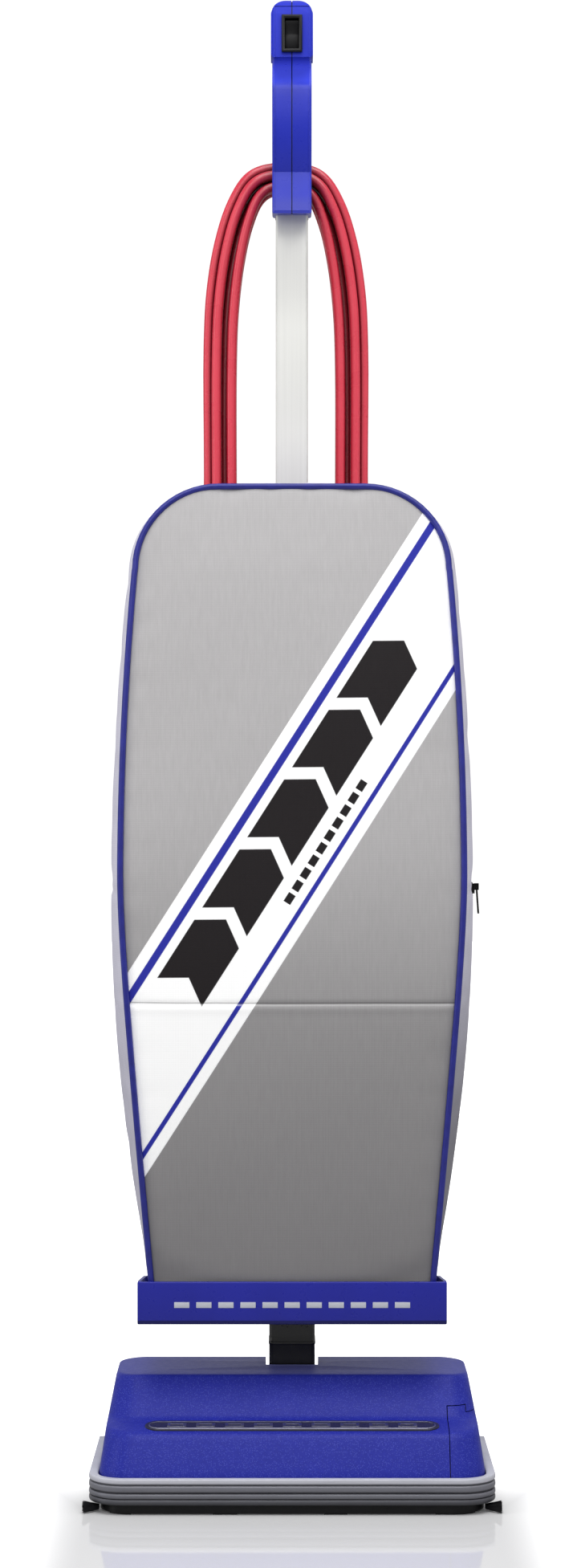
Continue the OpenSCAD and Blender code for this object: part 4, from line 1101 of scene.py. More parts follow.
def handle_tube():
    """Flat-sided oval tube with rounded corners and closed ends with rounded edges."""
    low, high = box_mm("handle_tube")
    levels = [(low.z, 0.6), (low.z + 0.6, 0.0), (low.z + 300, 0.0), (high.z - 200, 0.0),
              (high.z - 0.6, 0.0), (high.z, 0.6)]
    rings = [
        [(x, y, z) for x, y in rounded_outline(low.x + i, high.x - i, low.y + i, high.y - i, 2.6, 8)]
        for z, i in levels
    ]
    tube = loft("tube", rings)
    return place(tube, "handle", tube_grey(), "tube_grey", "handle_tube", angle=50)


# ---------------------------------------------------------------- grip

def arc3(a, b, c, steps=10):
    """Points of the circle through a, b and c, from a to c."""
    (ax, ay), (bx, by), (cx, cy) = a, b, c
    d = 2 * (ax * (by - cy) + bx * (cy - ay) + cx * (ay - by))
    ux = ((ax ** 2 + ay ** 2) * (by - cy) + (bx ** 2 + by ** 2) * (cy - ay)
          + (cx ** 2 + cy ** 2) * (ay - by)) / d
    uy = ((ax ** 2 + ay ** 2) * (cx - bx) + (bx ** 2 + by ** 2) * (ax - cx)
          + (cx ** 2 + cy ** 2) * (bx - ax)) / d
    r = hypot(ax - ux, ay - uy)
    start, middle, end = (atan2(p[1] - uy, p[0] - ux) for p in (a, b, c))
    turn = (end - start) % (2 * pi)
    if (middle - start) % (2 * pi) > turn:
        turn -= 2 * pi
    return [
        (ux + r * cos(start + turn * i / steps), uy + r * sin(start + turn * i / steps))
        for i in range(steps + 1)
    ]


GRIP_HALF = 16.4
SEAM = 0.4
HEAD_FACE = ((41.0, 1171.0), (47.4, 1209.0))
SWITCH_MIDDLE = (44.4, 1191.3)
ARCH_Z = 1206.5
ARCH_R = 17.7
GRIP_SCREWS = ((90, 1058), (57.6, 1140), (113, 1160), (76, 1205))


def grip_outline():
    """Side outline of the grip as (y, z)."""
    return (
        [(52, 1044)]
        + arc3((61, 1080), (49.5, 1116), (52, 1151), 16)
        + [(64, 1168), HEAD_FACE[0], HEAD_FACE[1]]
        + arc3((51.5, 1216.5), (59, 1221.8), (72, 1224), 8)
        + arc3((86, 1223.5), (118, 1197), (126, 1150), 18)
        + arc3((125, 1142), (117, 1119), (98, 1102), 8)
        + [(98, 1048)]
    )


def grip_opening():
    """Outline of the finger opening as (y, z)."""
    return (
        arc3((72, 1104), (84, 1098), (95, 1106), 8)
        + arc3((103, 1126), (106, 1150), (102, 1178), 10)
        + arc3((93, 1190), (82, 1194), (72, 1186), 8)
        + arc3((67, 1168), (64.5, 1144), (67, 1120), 10)
    )


def side_plate(name, outlines, half, round_mm=0.0, offset=0.0, segments=4):
    """Solid cut from (y, z) outlines, half wide to each side of x = 0, with rounded edges."""
    curve = bpy.data.curves.new(name, "CURVE")
    curve.dimensions = "2D"
    curve.fill_mode = "BOTH"
    for points in outlines:
        spline = curve.splines.new("POLY")
        spline.points.add(len(points) - 1)
        for p, (y, z) in zip(spline.points, points):
            p.co = (y * MM, z * MM, 0, 1)
        spline.use_cyclic_u = True
    curve.extrude = (half - round_mm) * MM
    curve.bevel_depth = round_mm * MM
    curve.bevel_resolution = segments
    curve.offset = (offset - round_mm) * MM
    obj = bpy.data.objects.new(name, curve)
    bpy.context.scene.collection.objects.link(obj)
    graph = bpy.context.evaluated_depsgraph_get()
    mesh = bpy.data.meshes.new_from_object(obj.evaluated_get(graph))
    bpy.data.objects.remove(obj)
    bm = bmesh.new()
    bm.from_mesh(mesh)
    bmesh.ops.remove_doubles(bm, verts=bm.verts, dist=2e-6)
    for v in bm.verts:
        y, z, x = v.co
        v.co = (x, y, z)
    bmesh.ops.recalc_face_normals(bm, faces=bm.faces)
    bm.to_mesh(mesh)
    bm.free()
    solid = bpy.data.objects.new(name, mesh)
    bpy.context.scene.collection.objects.link(solid)
    return solid


def head_frame(points):
    """Points given as (across, out, up) on the sloping head face, in row-frame millimetres."""
    (y0, z0), (y1, z1) = HEAD_FACE
    tilt = atan2(y1 - y0, z1 - z0)
    return [
        (x, SWITCH_MIDDLE[0] + y * cos(tilt) + z * sin(tilt),
         SWITCH_MIDDLE[1] - y * sin(tilt) + z * cos(tilt))
        for x, y, z in points
    ]


def move_to_head(obj):
    """Moves a mesh drawn about the head face's own frame to its place."""
    flat = [tuple(v.co / MM) for v in obj.data.vertices]
    for v, p in zip(obj.data.vertices, head_frame(flat)):
        v.co = Vector(p) * MM
    obj.data.update()
    return obj


def switch_opening():
    """Block that clears room for the switch in the head."""
    return move_to_head(block("switch_opening", (-8, -3, -15.1), (8, 18.4, 15.1)))


def grip_body():
    """Both grip halves in one solid: rounded plate, sunk front face between thin rims, wider head."""
    body = side_plate("grip", [grip_outline(), grip_opening()], GRIP_HALF, 1.6)
    sunk = side_plate("grip_sunk", [grip_outline()], 14.3, offset=3.0)
    keep = side_plate("grip_keep", [grip_outline()], 20.0, offset=-0.55)
    boolean(sunk, keep)
    window = block("grip_window", (-20, 20, 1047.5), (20, 68, 1216))
    boolean(sunk, window, "INTERSECT")
    boolean(body, sunk)
    foot = bevel(block("grip_foot", (-15.2, 30, 1030), (15.2, 52.7, 1047)), 0.5, 2)
    boolean(body, foot)
    for side in (-1, 1):
        pad = side_plate("head_pad", [head_side_outline()], 0.9, 0.5)
        for v in pad.data.vertices:
            v.co.x += side * (GRIP_HALF + 0.15) * MM
        boolean(body, pad, "UNION")
    boolean(body, head_corners())
    boolean(body, switch_opening())
    return body


def head_side_outline():
    """Raised pad on each side of the head, as (y, z)."""
    return (
        [(42.8, 1173), (48.6, 1208)]
        + arc3((53, 1215), (58.5, 1219.4), (66, 1221.4), 6)
        + arc3((67.6, 1200), (67.2, 1186), (64.8, 1171.4), 6)
    )


def head_corners():
    """Cutter that rounds the head's top, seen from the front."""
    corners = block("head_corners", (-30, 20, ARCH_Z), (30, 150, 1250))
    return boolean(corners, rod("head_round", (0, 0, ARCH_Z), (0, 200, ARCH_Z), ARCH_R, 96))


def front_plate(name, outlines, y0, y1):
    """Solid cut from (x, z) outlines between two depths."""
    plate = side_plate(name, outlines, (y1 - y0) / 2)
    for v in plate.data.vertices:
        x, y, z = v.co
        v.co = (y, x + (y0 + y1) / 2 * MM, z)
    return outward(plate)


def grip_halves():
    """Left and right grip, split at the middle over a thin dark sheet that fills the seam as painted shade."""
    material = handle_blue()
    body = grip_body()
    for side, name, node in ((-1, "grip_left", "left_grip"), (1, "grip_right", "right_grip")):
        half = body.copy()
        half.data = body.data.copy()
        half.name = name
        bpy.context.scene.collection.objects.link(half)
        near, far = sorted((side * SEAM, side * 40))
        boolean(half, block("half_keep", (near, 0, 1000), (far, 200, 1300)), "INTERSECT")
        x = side * GRIP_HALF
        for point in GRIP_SCREWS:
            boolean(half, rod("drill", (x - side * 2.4, *point), (x + side * 5, *point), 3.1, 24))
        place(half, "handle", material, "handle_blue", node, angle=24)
    bpy.data.objects.remove(body)
    # painted shade: a thin near black sheet fills the gap between the halves so the seam reads dark
    seam_shade = side_plate("grip_seam_shade", [grip_outline(), grip_opening()], SEAM + 0.1, offset=-0.9)
    boolean(seam_shade, switch_opening())
    boolean(seam_shade, head_corners())
    dark = plastic("grip_seam_shade_black", "0c0c2a", 0.6, 900)
    place(seam_shade, "handle", dark, "black_plastic")


# ---------------------------------------------------------------- head shell

def hood_levels(inset=0.0):
    """Levels of the hood as (front, z, half width, rear, corner radius), with rounded creases."""
    corners = [
        (-107.5, 8.2, 152.5, 100, 25),
        (-107.5, 27, 152.5, 100, 25),
        (-90, 60, 147.8, 98, 25),
        (-59, 64, 147.4, 97, 23),
        (-30, 94, 142, 53, 20),
        (-12, 94, 124, 35, 14),
        (0, 94, 40, 20, 5),
    ]
    path = fillet_path(corners, (8, 7, 6, 4.5, 6), 5)
    drop = inset if inset > 0 else 0
    return [
        (f + inset, z - (drop if z > 8.3 else 5 * (inset > 0)), hx - inset, rear - inset, max(r - inset, 1))
        for f, z, hx, rear, r in path
    ]


def hood_form(name, inset=0.0):
    rings = []
    for front, z, hx, rear, radius in hood_levels(inset):
        ring = []
        for x, y in rounded_outline(-hx, hx, front, rear, radius, 10):
            crown = 2.4 * ease((z - 84) / 10) * (1 - (x / 142) ** 2)
            ring.append((x, y, z + crown))
        rings.append(ring)
    return loft(name, rings)


COVER_X = 124.0
COVER_STEP_X = 138.5
COVER_TOP = 73.0
COVER_STEP_TOP = 68.0
COVER_REAR = -20.0


def cover_region(name, grow):
    """Region of the belt cover, seen from the front, grown by a gap."""
    outline = [
        (COVER_X - grow, 0), (COVER_X - grow, COVER_TOP + grow),
        (COVER_STEP_X + grow, COVER_TOP + grow), (COVER_STEP_X + grow, COVER_STEP_TOP + grow),
        (175, COVER_STEP_TOP + grow), (175, 0),
    ]
    return front_plate(name, [outline], -140, COVER_REAR + grow)


def hood_and_cover():
    """Hood shell with the handle's slot, wheel arches and the separate belt cover."""
    outer = hood_form("hood_shell")
    inner = hood_form("hood_hollow", 2.5)
    boolean(inner, block("slot_wall", (-24, 3.5, 0), (24, 130, 120)))
    boolean(outer, inner)
    boolean(outer, block("slot", (-21.65, 6, -5), (21.65, 130, 120)))
    boolean(outer, rod("pivot_notch", (-30, 26, 62), (30, 26, 62), 15, 40))
    for side in (-1, 1):
        a, b = sorted((side * 116.5, side * 139.5))
        boolean(outer, rod("arch", (a, 82, 22), (b, 82, 22), 25, 48))
    cover = outer.copy()
    cover.data = outer.data.copy()
    cover.name = "belt_cover_shell"
    bpy.context.scene.collection.objects.link(cover)
    boolean(cover, cover_region("cover_keep", -0.05), "INTERSECT")
    boolean(outer, cover_region("cover_gap", 0.6))
    material = hood_blue()
    place(outer, "base", material, "hood_blue", "hood", angle=28)
    place(cover, "base", material, "hood_blue", "belt_cover", angle=28)


def bumper():
    """Ribbed band round the front and both sides, with rounded ends."""
    thick, groove = 7.2, 2.6
    ribs = [(24.6, 28.4, 0.7), (18.3, 22.9, 1.0), (12.9, 16.7, 1.0), (8.0, 12.3, 1.3)]
    profile = [(3.4, ribs[0][1])]
    for i, (low, high, swell) in enumerate(ribs):
        if i:
            profile += [(groove, ribs[i - 1][0] - 0.25), (groove, high + 0.25)]
        middle, half = (low + high) / 2, (high - low) / 2
        for k in range(9):
            a = radians(80 - 20 * k)
            profile.append((swell * (1 - cos(a) ** 0.7), middle + half * sin(a) / sin(radians(80))))
    profile += [(thick, ribs[-1][0]), (thick, 27.9), (thick - 1.2, 28.4)]
    hx, front, rear, r = 160.0, -115.0, 55.0, 28.0
    stations = [((hx, y), (1, 0)) for y in (rear, rear - 0.5, rear - 1.5, rear - 3)]
    stations += [((hx, y), (1, 0)) for y in np.linspace(rear - 20, front + r + 8, 6)]
    for i in range(17):
        a = radians(-90 * i / 16)
        stations.append(((hx - r + r * cos(a), front + r + r * sin(a)), (cos(a), sin(a))))
    stations += [((x, front), (0, -1)) for x in np.linspace(hx - r - 12, 6, 9)]
    stations += [((-x, y), (-nx, ny)) for (x, y), (nx, ny) in reversed(stations)]
    centre = (thick / 2, 18.2)
    shrink = {0: 0.72, 1: 0.88, 2: 0.97}
    rings = []
    for i, ((x, y), (nx, ny)) in enumerate(stations):
        k = shrink.get(min(i, len(stations) - 1 - i), 1.0)
        rings.append([
            (x - nx * (centre[0] + (d - centre[0]) * k), y - ny * (centre[0] + (d - centre[0]) * k),
             centre[1] + (z - centre[1]) * (1 - (1 - k) * 0.35))
            for d, z in profile
        ])
    return place(loft("bumper_band", rings), "base", bumper_grey(), "bumper_grey", "bumper", angle=40)


def stadium(half, radius, steps=16):
    """Outline with straight sides and round ends, as (x, y)."""
    points = []
    for side in (1, -1):
        for i in range(steps + 1):
            a = radians(-90 + 180 * i / steps)
            points.append((side * (half - radius + radius * cos(a)), side * radius * sin(a)))
    return points


def badge_solid(name, half, radius, low, high, edge=0.25):
    """Stadium-shaped plate drawn flat, then laid on the hood's ledge."""
    levels = [(low, 0), (high - edge, 0), (high, edge)]
    rings = [[(x, y, z) for x, y in stadium(half - i, radius - i)] for z, i in levels]
    return loft(name, rings)


def lay_badge(obj):
    tilt = atan2(4, 31)
    for v in obj.data.vertices:
        x, y, z = v.co / MM
        v.co = Vector((
            x, -75 + y * cos(tilt) - z * sin(tilt), 62.15 + y * sin(tilt) + z * cos(tilt)
        )) * MM
    obj.data.update()
    return obj


def hood_badge():
    """Dark badge with a pale rim line and a row of plain pale bars."""
    dark = plastic("badge_dark", "2b2a33", 0.3, 1800, 0.02, 0.08, 0.3, 0.3)
    pale = metal("badge_rim", "a3a3b4", 0.35, (1, 1, 1), 0.1, 0.2)
    plate = badge_solid("badge_plate", 116.5, 10.9, -0.6, 0.9)
    place(lay_badge(plate), "base", dark, "badge_grey", "hood_badge")
    rim = badge_solid("badge_rim", 113.6, 8.6, 0.5, 1.2)
    boolean(rim, badge_solid("badge_rim_hole", 112.4, 7.4, -2, 4, 0.0))
    place(lay_badge(rim), "base", pale, "badge_grey")
    bars = []
    count, width, pitch, line = 9, 15.0, 22.8, 2.4
    for i in range(count):
        x = (i - (count - 1) / 2) * pitch
        frame_bar = bevel(block(f"bar_{i}", (x - width / 2, -4.2, 0.5), (x + width / 2, 4.2, 1.15)), 0.3, 2)
        hole = block("bar_hole", (x - width / 2 + line, line - 4.2, -2),
                     (x + width / 2 - line, 4.2 - line, 4))
        bars.append(boolean(frame_bar, hole))
    place(lay_badge(join("badge_bars", bars)), "base", pale, "badge_grey")


def filaments(name, roots, tips, radius, seed, spread=0.6):
    """Tuft of thin bristles, each a slightly bent three-sided rod from a root to a tip."""
    rng = np.random.default_rng(seed)
    verts, faces = [], []
    for root, tip in zip(roots, tips):
        root, tip = np.array(root, float), np.array(tip, float)
        middle = (root + tip) / 2 + rng.normal(0, spread * 0.4, 3)
        tip = tip + rng.normal(0, spread, 3)
        axis = (tip - root) / np.linalg.norm(tip - root)
        across = np.cross(axis, (0.3, 0.5, 0.81))
        across /= np.linalg.norm(across)
        other = np.cross(axis, across)
        start = len(verts)
        for centre, r in ((root, radius), (middle, radius), (tip, radius * 0.6)):
            for k in range(3):
                a = 2 * pi * k / 3
                verts.append(tuple(centre + (across * cos(a) + other * sin(a)) * r))
        for level in range(2):
            for k in range(3):
                i, j = start + level * 3 + k, start + level * 3 + (k + 1) % 3
                faces.append((i, j, j + 3, i + 3))
        faces.append((start + 2, start + 1, start))
        faces.append((start + 6, start + 7, start + 8))
    return new_object(name, verts, faces)


def edge_brushes(material):
    """Fanned side tufts that reach out under the bumper at both front corners."""
    low, high = box_mm("edge_brushes")
    rng = np.random.default_rng(7)
    tufts = []
    for side in (-1, 1):
        roots, tips = [], []
        for _ in range(620):
            t, u, v = rng.random(3)
            roots.append((side * mix(151.5, 153.2, v), mix(-97.5, -90.5, t), mix(1.4, 4.4, u)))
            tips.append((side * mix(162.4, high.x - 0.5, v), mix(-108.4, -101.4, t),
                         mix(max(low.z, 0.9), 9.0, u)))
        tufts.append(filaments(f"edge_tuft_{side + 1}", roots, tips, 0.16, 11 + side, 0.3))
    return place(join("edge_brush_tufts", tufts), "base", material, "bristle", "edge_brushes", angle=60)


def brush_bristles(material):
    """Spiral rows of tufts round the brush roll."""
    low, high = box_mm("brush_bristles")
    axis_y, axis_z = (low.y + high.y) / 2, (low.z + high.z) / 2
    rng = np.random.default_rng(3)
    roots, tips = [], []
    count = 25
    for i in range(count):
        for row in (0, 180):
            x = (i - (count - 1) / 2) * 10 - 5
            turn = radians(row + i * 14)
            for _ in range(34):
                a, r = 2 * pi * rng.random(), 1.6 * sqrt(rng.random())
                dx, dt = r * cos(a), r * sin(a)
                for points, reach, flare in ((roots, 14.6, 1.0), (tips, 20.9, 1.35)):
                    side, up = dt * flare, reach
                    points.append((x + dx * flare,
                                   axis_y + side * cos(turn) - up * sin(turn),
                                   axis_z + side * sin(turn) + up * cos(turn)))
    tufts = filaments("brush_tufts", roots, tips, 0.13, 5, 0.2)
    return place(tufts, "brush_roll", material, "bristle", "brush_bristles", angle=60)


# ---------------------------------------------------------------- mains cord

CORD_X = -5.0
CORD_R = 4.3
TURNS = 8
COLUMN_FOOT_X = (46, 60, 74)
COLUMN_FOOT = (84, 98, 112)
LOOP_DROP = 150
CORD_FOOT_Z = 567
CROWN_HALF = 12
LEG_Z = 800               # height down to which the legs run straight
TAIL_X = 93
TAIL_FOOT = 126
TURN_TOP = (              # half width, depth and crown height of each turn
    (46, 107, 1075.5), (58.6, 107, 1085), (65.8, 112.9, 1092), (65.8, 126.2, 1092),
    (60, 119.6, 1085), (51.5, 115.9, 1075.5), (46, 125, 1075), (57.5, 129.4, 1083),
)


def turn_column(k):
    """Column of a turn at its foot: out on one layer, back in on the next."""
    return 2 - k % 3 if k // 3 == 1 else k % 3


def foot_y(k):
    return 104.4 + 12 * (k // 3)


def foot_point(s, half, drop, y):
    """Point of the lower bend: s is -1 on the left leg, 0 below and 1 on the right leg."""
    a = radians(90 * s)
    return (CORD_X + half * sin(a), y, CORD_FOOT_Z - drop * cos(a))


def crown_point(side, s, k):
    """Point of the upper bend on one side: s is 1 at the leg and 0 on top of the hook."""
    half, depth, top = TURN_TOP[k]
    a = radians(90 * s)
    flat = CROWN_HALF + 0.25 * (half - TURN_TOP[0][0])
    return (CORD_X + side * (flat + (half - flat) * sin(a)), depth, top - LOOP_DROP + LOOP_DROP * cos(a))


def leg_point(side, k):
    half, depth, _ = TURN_TOP[k]
    return (CORD_X + side * half, depth, LEG_Z)


def turn_points(k):
    """One turn of the wound cord, from below up the left side, over the hook and down again."""
    c = turn_column(k)
    last = k == TURNS - 1
    n = turn_column(min(k + 1, TURNS - 1))
    half, drop, y = COLUMN_FOOT_X[c], COLUMN_FOOT[c], foot_y(k)
    next_half = TAIL_X if last else COLUMN_FOOT_X[n]
    next_drop = TAIL_FOOT if last else COLUMN_FOOT[n]
    next_y = y if last else foot_y(k + 1)
    points = [foot_point(-i / 5, half, drop, y) for i in range(6)]
    points.append(leg_point(-1, k))
    points += [crown_point(-1, 1 - i / 5, k) for i in range(6)]
    points += [crown_point(1, i / 5, k) for i in range(6)]
    points.append(leg_point(1, k))
    for i in range(5, 0, -1):
        t = 1 - i / 5
        points.append(foot_point(i / 5, mix(half, next_half, t), mix(drop, next_drop, t),
                                 mix(y, next_y, t)))
    return points


def smooth_path(points, per_span=5, tension=0.5):
    """Curve through the points, with spans weighted by their length so that it never loops."""
    pts = [np.array(p, float) for p in points]
    pts = [pts[0]] + [b for a, b in zip(pts, pts[1:]) if np.linalg.norm(b - a) > 0.5]
    knots = [0.0]
    for a, b in zip(pts, pts[1:]):
        knots.append(knots[-1] + np.linalg.norm(b - a) ** tension)
    ends = [2 * pts[0] - pts[1]] + pts + [2 * pts[-1] - pts[-2]]
    times = [2 * knots[0] - knots[1]] + knots + [2 * knots[-1] - knots[-2]]
    out = []
    for i in range(1, len(ends) - 2):
        p0, p1, p2, p3 = ends[i - 1:i + 3]
        t0, t1, t2, t3 = times[i - 1:i + 3]
        for k in range(per_span):
            t = mix(t1, t2, k / per_span)
            a1 = p0 * (t1 - t) / (t1 - t0) + p1 * (t - t0) / (t1 - t0)
            a2 = p1 * (t2 - t) / (t2 - t1) + p2 * (t - t1) / (t2 - t1)
            a3 = p2 * (t3 - t) / (t3 - t2) + p3 * (t - t2) / (t3 - t2)
            b1 = a1 * (t2 - t) / (t2 - t0) + a2 * (t - t0) / (t2 - t0)
            b2 = a2 * (t3 - t) / (t3 - t1) + a3 * (t - t1) / (t3 - t1)
            out.append(b1 * (t2 - t) / (t2 - t1) + b2 * (t - t1) / (t2 - t1))
    out.append(pts[-1])
    return out


def power_cord():
    """One cord: out of the grip, down behind the tube, eight turns between the hooks and to its plug."""
    lead_x, lead_y, lead_z = 22, 94.5, 530
    drop = lead_z - CORD_FOOT_Z + COLUMN_FOOT[0]
    points = [(8, 92.5, 1040), (8, 92.5, 1027), (8, lead_y, 1005)]
    points += [(mix(8, lead_x, ease(t)), lead_y, 790 - 170 * t) for t in np.linspace(0, 1, 5)]
    for degree in range(0, 76, 15):
        a = radians(degree)
        points.append((CORD_X + (lead_x - CORD_X) * cos(a), mix(lead_y, foot_y(0), degree / 90),
                       lead_z - drop * sin(a)))
    for k in range(TURNS):
        points += turn_points(k)
    y = foot_y(TURNS - 1)
    points += [foot_point(-i / 5, TAIL_X, TAIL_FOOT, y) for i in range(6)]
    points.append((CORD_X - TAIL_X, y, 704))
    cord = tube_along("power_cord_wound", smooth_path(points), CORD_R, sides=16)
    return place(cord, "handle", cord_red(), "cord_red", "power_cord", angle=80)


def cord_plug(black, metal_pins):
    """Moulded plug with a ribbed grip, a ribbed boot and rounded pins."""
    x, y, z = CORD_X - TAIL_X, foot_y(TURNS - 1), 700
    profile = [(0.0, 5.0), (0.8, 6.2)]
    for i in range(4):
        base = 1.6 + i * 3.0
        profile += [(base, 6.6 + 0.1 * i), (base + 1.6, 6.6 + 0.1 * i), (base + 2.1, 5.6), (base + 2.5, 5.6)]
    profile += [(13.6, 8.0), (14.6, 11.6), (16.5, 12.8), (31.5, 13.0), (34.0, 12.6), (35.0, 11.6)]
    sides = 48
    rings = []
    for h, r in profile:
        ring = []
        for i in range(sides):
            a = 2 * pi * i / sides
            groove = 0.35 * (1 + cos(16 * a)) if 17 < h < 31 else 0.0
            ring.append((x + (r - groove) * cos(a), y + (r - groove) * sin(a), z + h))
        rings.append(ring)
    body = loft("plug_body", rings)
    place(body, "handle", black, "black_rubber", "cord_plug", angle=40)
    pins = []
    for side in (-1, 1):
        px = x + side * 6.35
        pins.append(bevel(block("blade", (px - 0.75, y - 3.1, z + 34), (px + 0.75, y + 3.1, z + 53)), 0.4, 2))
    pins.append(rod("ground_pin", (x, y + 7, z + 34), (x, y + 7, z + 54), 2.35, 24, 1.0))
    place(join("plug_blades", pins), "handle", metal_pins, "brass", "plug_pins", angle=40)


def hook_arm(name, parts, material, body, node):
    """Bevelled moulding joined from blocks."""
    done = [bevel(block(f"{name}_{i}", low, high), min(1.4, 0.4 * min(
        h - l for l, h in zip(low, high))), 3) for i, (low, high) in enumerate(parts)]
    shape = done[0]
    for part in done[1:]:
        boolean(shape, part, "UNION")
    shape.name = name
    return place(shape, body, material, "black_plastic", node)


def cord_hooks(black, steel):
    """Fixed upper hook, its plate, and the lower hook that swivels to drop the cord."""
    hook_arm("upper_hook", [
        ((-14, 98.2, 1046), (14, 101.2, 1086)),
        ((-9.5, 99.5, 1063), (9.5, 138, 1069)),
        ((-9.5, 134, 1063), (9.5, 138, 1090)),
    ], black, "handle", "upper_cord_hook")
    hub = rod("lower_hook", (0, 90.3, 500), (0, 139, 500), 8, 40, 0.8)
    lip = bevel(block("lower_lip", (-8, 134, 462), (8, 139, 508)), 1.8, 3)
    boolean(hub, lip, "UNION")
    boolean(hub, rod("lower_bore", (0, 80, 500), (0, 133, 500), 4.05, 32))
    place(hub, "cord_hook", black, "black_plastic", "lower_cord_hook")


# ---------------------------------------------------------------- switch

def switch_parts(glossy, matt):
    """Bezel with a sunk lip and a rocker with a concave face and a dark finger slot."""
    bezel = bevel(block("switch_frame", (-8.6, -2.2, -16.3), (8.6, -0.15, 16.3)), 0.7, 3)
    boolean(bezel, block("frame_hole", (-6.0, -5, -13.6), (6.0, 5, 13.6)))
    inner = bevel(block("frame_lip", (-6.9, -4.0, -14.5), (6.9, -1.7, 14.5)), 0.2, 2)
    boolean(bezel, inner)
    move_to_head(bezel)
    place(bezel, "handle", glossy, "neck_black", "switch_bezel")

    half, pivot = 5.7, 4.0
    face = [(-2.4, 12.0), (-1.9, 9.0), (-1.4, 4.0), (-1.2, 0.6), (-2.0, -0.6), (-2.9, -5.0), (-3.0, -12.0)]
    back = [(3.0, -12.0), (6.0, -4.0), (6.0, 4.0), (3.0, 12.0)]
    tip = radians(8)
    outline = [
        (pivot + y * cos(tip) - z * sin(tip), y * sin(tip) + z * cos(tip)) for y, z in face + back
    ]
    rings = [[(x, y, z) for y, z in outline] for x in (-half, half)]
    rocker = bevel(loft("rocker", rings), 0.35, 2)
    boolean(rocker, block("rocker_slot", (-4.2, -3, -11.4), (4.2, 1.6, -8.6)))
    move_to_head(rocker)
    place(rocker, "rocker", matt, "neck_black", "switch_rocker")


# ---------------------------------------------------------------- zip

def zip_curve(y, out, start, end, step=1.0):
    """Points on the zip's arc from the lower end up, in millimetres of arc."""
    radius = ZIP_RADIUS + out
    points = []
    s = start
    while s <= end:
        a = s / ZIP_RADIUS
        points.append((ZIP_CENTRE_X + radius * cos(a), y, ZIP_TOP - radius * sin(a)))
        s += step
    return points


def zip_tape(cloth, teeth_material):
    """Woven tape on the side panel with two rows of teeth along its middle."""
    length = radians(10.3) * ZIP_RADIUS
    rows = []
    for y, out in ((-7.0, 0.3), (-6.6, 0.85), (-1.2, 1.0), (1.2, 1.0), (6.6, 0.85), (7.0, 0.3)):
        rows.append(zip_curve(y, out, 0, length, 4.0))
    rings = [[row[i] for row in rows] for i in range(len(rows[0]))]
    tape = loft("zip_tape", rings)
    place(tape, "handle", cloth, "zip_black", "zipper_tape", angle=40)
    verts, faces = [], []
    pitch, size = 1.5, (0.55, 1.5, 0.45)
    count = int(length / pitch) - 2
    for i in range(count):
        a = (2 + i * pitch) / ZIP_RADIUS
        side = 1 if i % 2 else -1
        reach = ZIP_RADIUS + 1.0
        centre = Vector((ZIP_CENTRE_X + reach * cos(a), side * 0.55, ZIP_TOP - reach * sin(a)))
        up = Vector((-sin(a), 0, -cos(a)))
        out = Vector((cos(a), 0, -sin(a)))
        start = len(verts)
        for dz in (-1, 1):
            for dy, do in ((-1, -0.2), (1, -0.2), (1, 0.6), (0.6, 1), (-0.6, 1), (-1, 0.6)):
                verts.append(tuple(centre + up * (dz * size[2]) + Vector((0, dy * size[1], 0)) + out * (do * size[0])))
        for k in range(6):
            j = (k + 1) % 6
            faces.append((start + k, start + j, start + 6 + j, start + 6 + k))
        faces.append(tuple(start + k for k in reversed(range(6))))
        faces.append(tuple(start + 6 + k for k in range(6)))
    teeth = outward(new_object("zip_teeth", verts, faces))
    place(teeth, "handle", teeth_material, "zip_black", angle=30)


# ---------------------------------------------------------------- wheels

def lathe_x(name, profile, centre, sides=64, closed=True):
    """Solid turned about an axis along x. profile holds (x, radius) pairs."""
    cx, cy, cz = centre
    rings = [
        [(cx + x, cy + r * cos(2 * pi * i / sides), cz + r * sin(2 * pi * i / sides))
         for i in range(sides)]
        for x, r in profile
    ]
    if closed:
        rings.append(rings[0])
    obj = loft(name, rings, caps=not closed)
    if closed:
        bm = bmesh.new()
        bm.from_mesh(obj.data)
        bmesh.ops.remove_doubles(bm, verts=bm.verts, dist=1e-6)
        bmesh.ops.recalc_face_normals(bm, faces=bm.faces)
        bm.to_mesh(obj.data)
        bm.free()
    return obj


def tyres(material):
    """Crowned tyres with rounded shoulders, two tread grooves and a bead on each side."""
    for side, name, node, body in ((-1, "tyre_left", "left_tyre", "left_wheel"),
                                   (1, "tyre_right", "right_tyre", "right_wheel")):
        low, high = box_mm(node)
        centre = ((low.x + high.x) / 2, (low.y + high.y) / 2, (low.z + high.z) / 2)
        outer, inner, half = (high.z - low.z) / 2, (high.z - low.z) / 2 - 4.9, (high.x - low.x) / 2
        profile = [(-half, inner), (-half, inner + 1.2), (-half + 0.4, inner + 2.4),
                   (-half, inner + 3.0), (-half + 0.7, outer - 0.9), (-half + 1.9, outer - 0.1)]
        for middle in (-4, 4):
            profile += [(middle - 0.8, outer), (middle - 0.45, outer - 0.9),
                        (middle + 0.45, outer - 0.9), (middle + 0.8, outer)]
        profile += [(-x, r) for x, r in reversed(profile[:6])]
        tyre = lathe_x(name, profile, centre)
        place(tyre, body, material, "tyre_rubber", node, angle=40)


# ---------------------------------------------------------------- paper filter bag

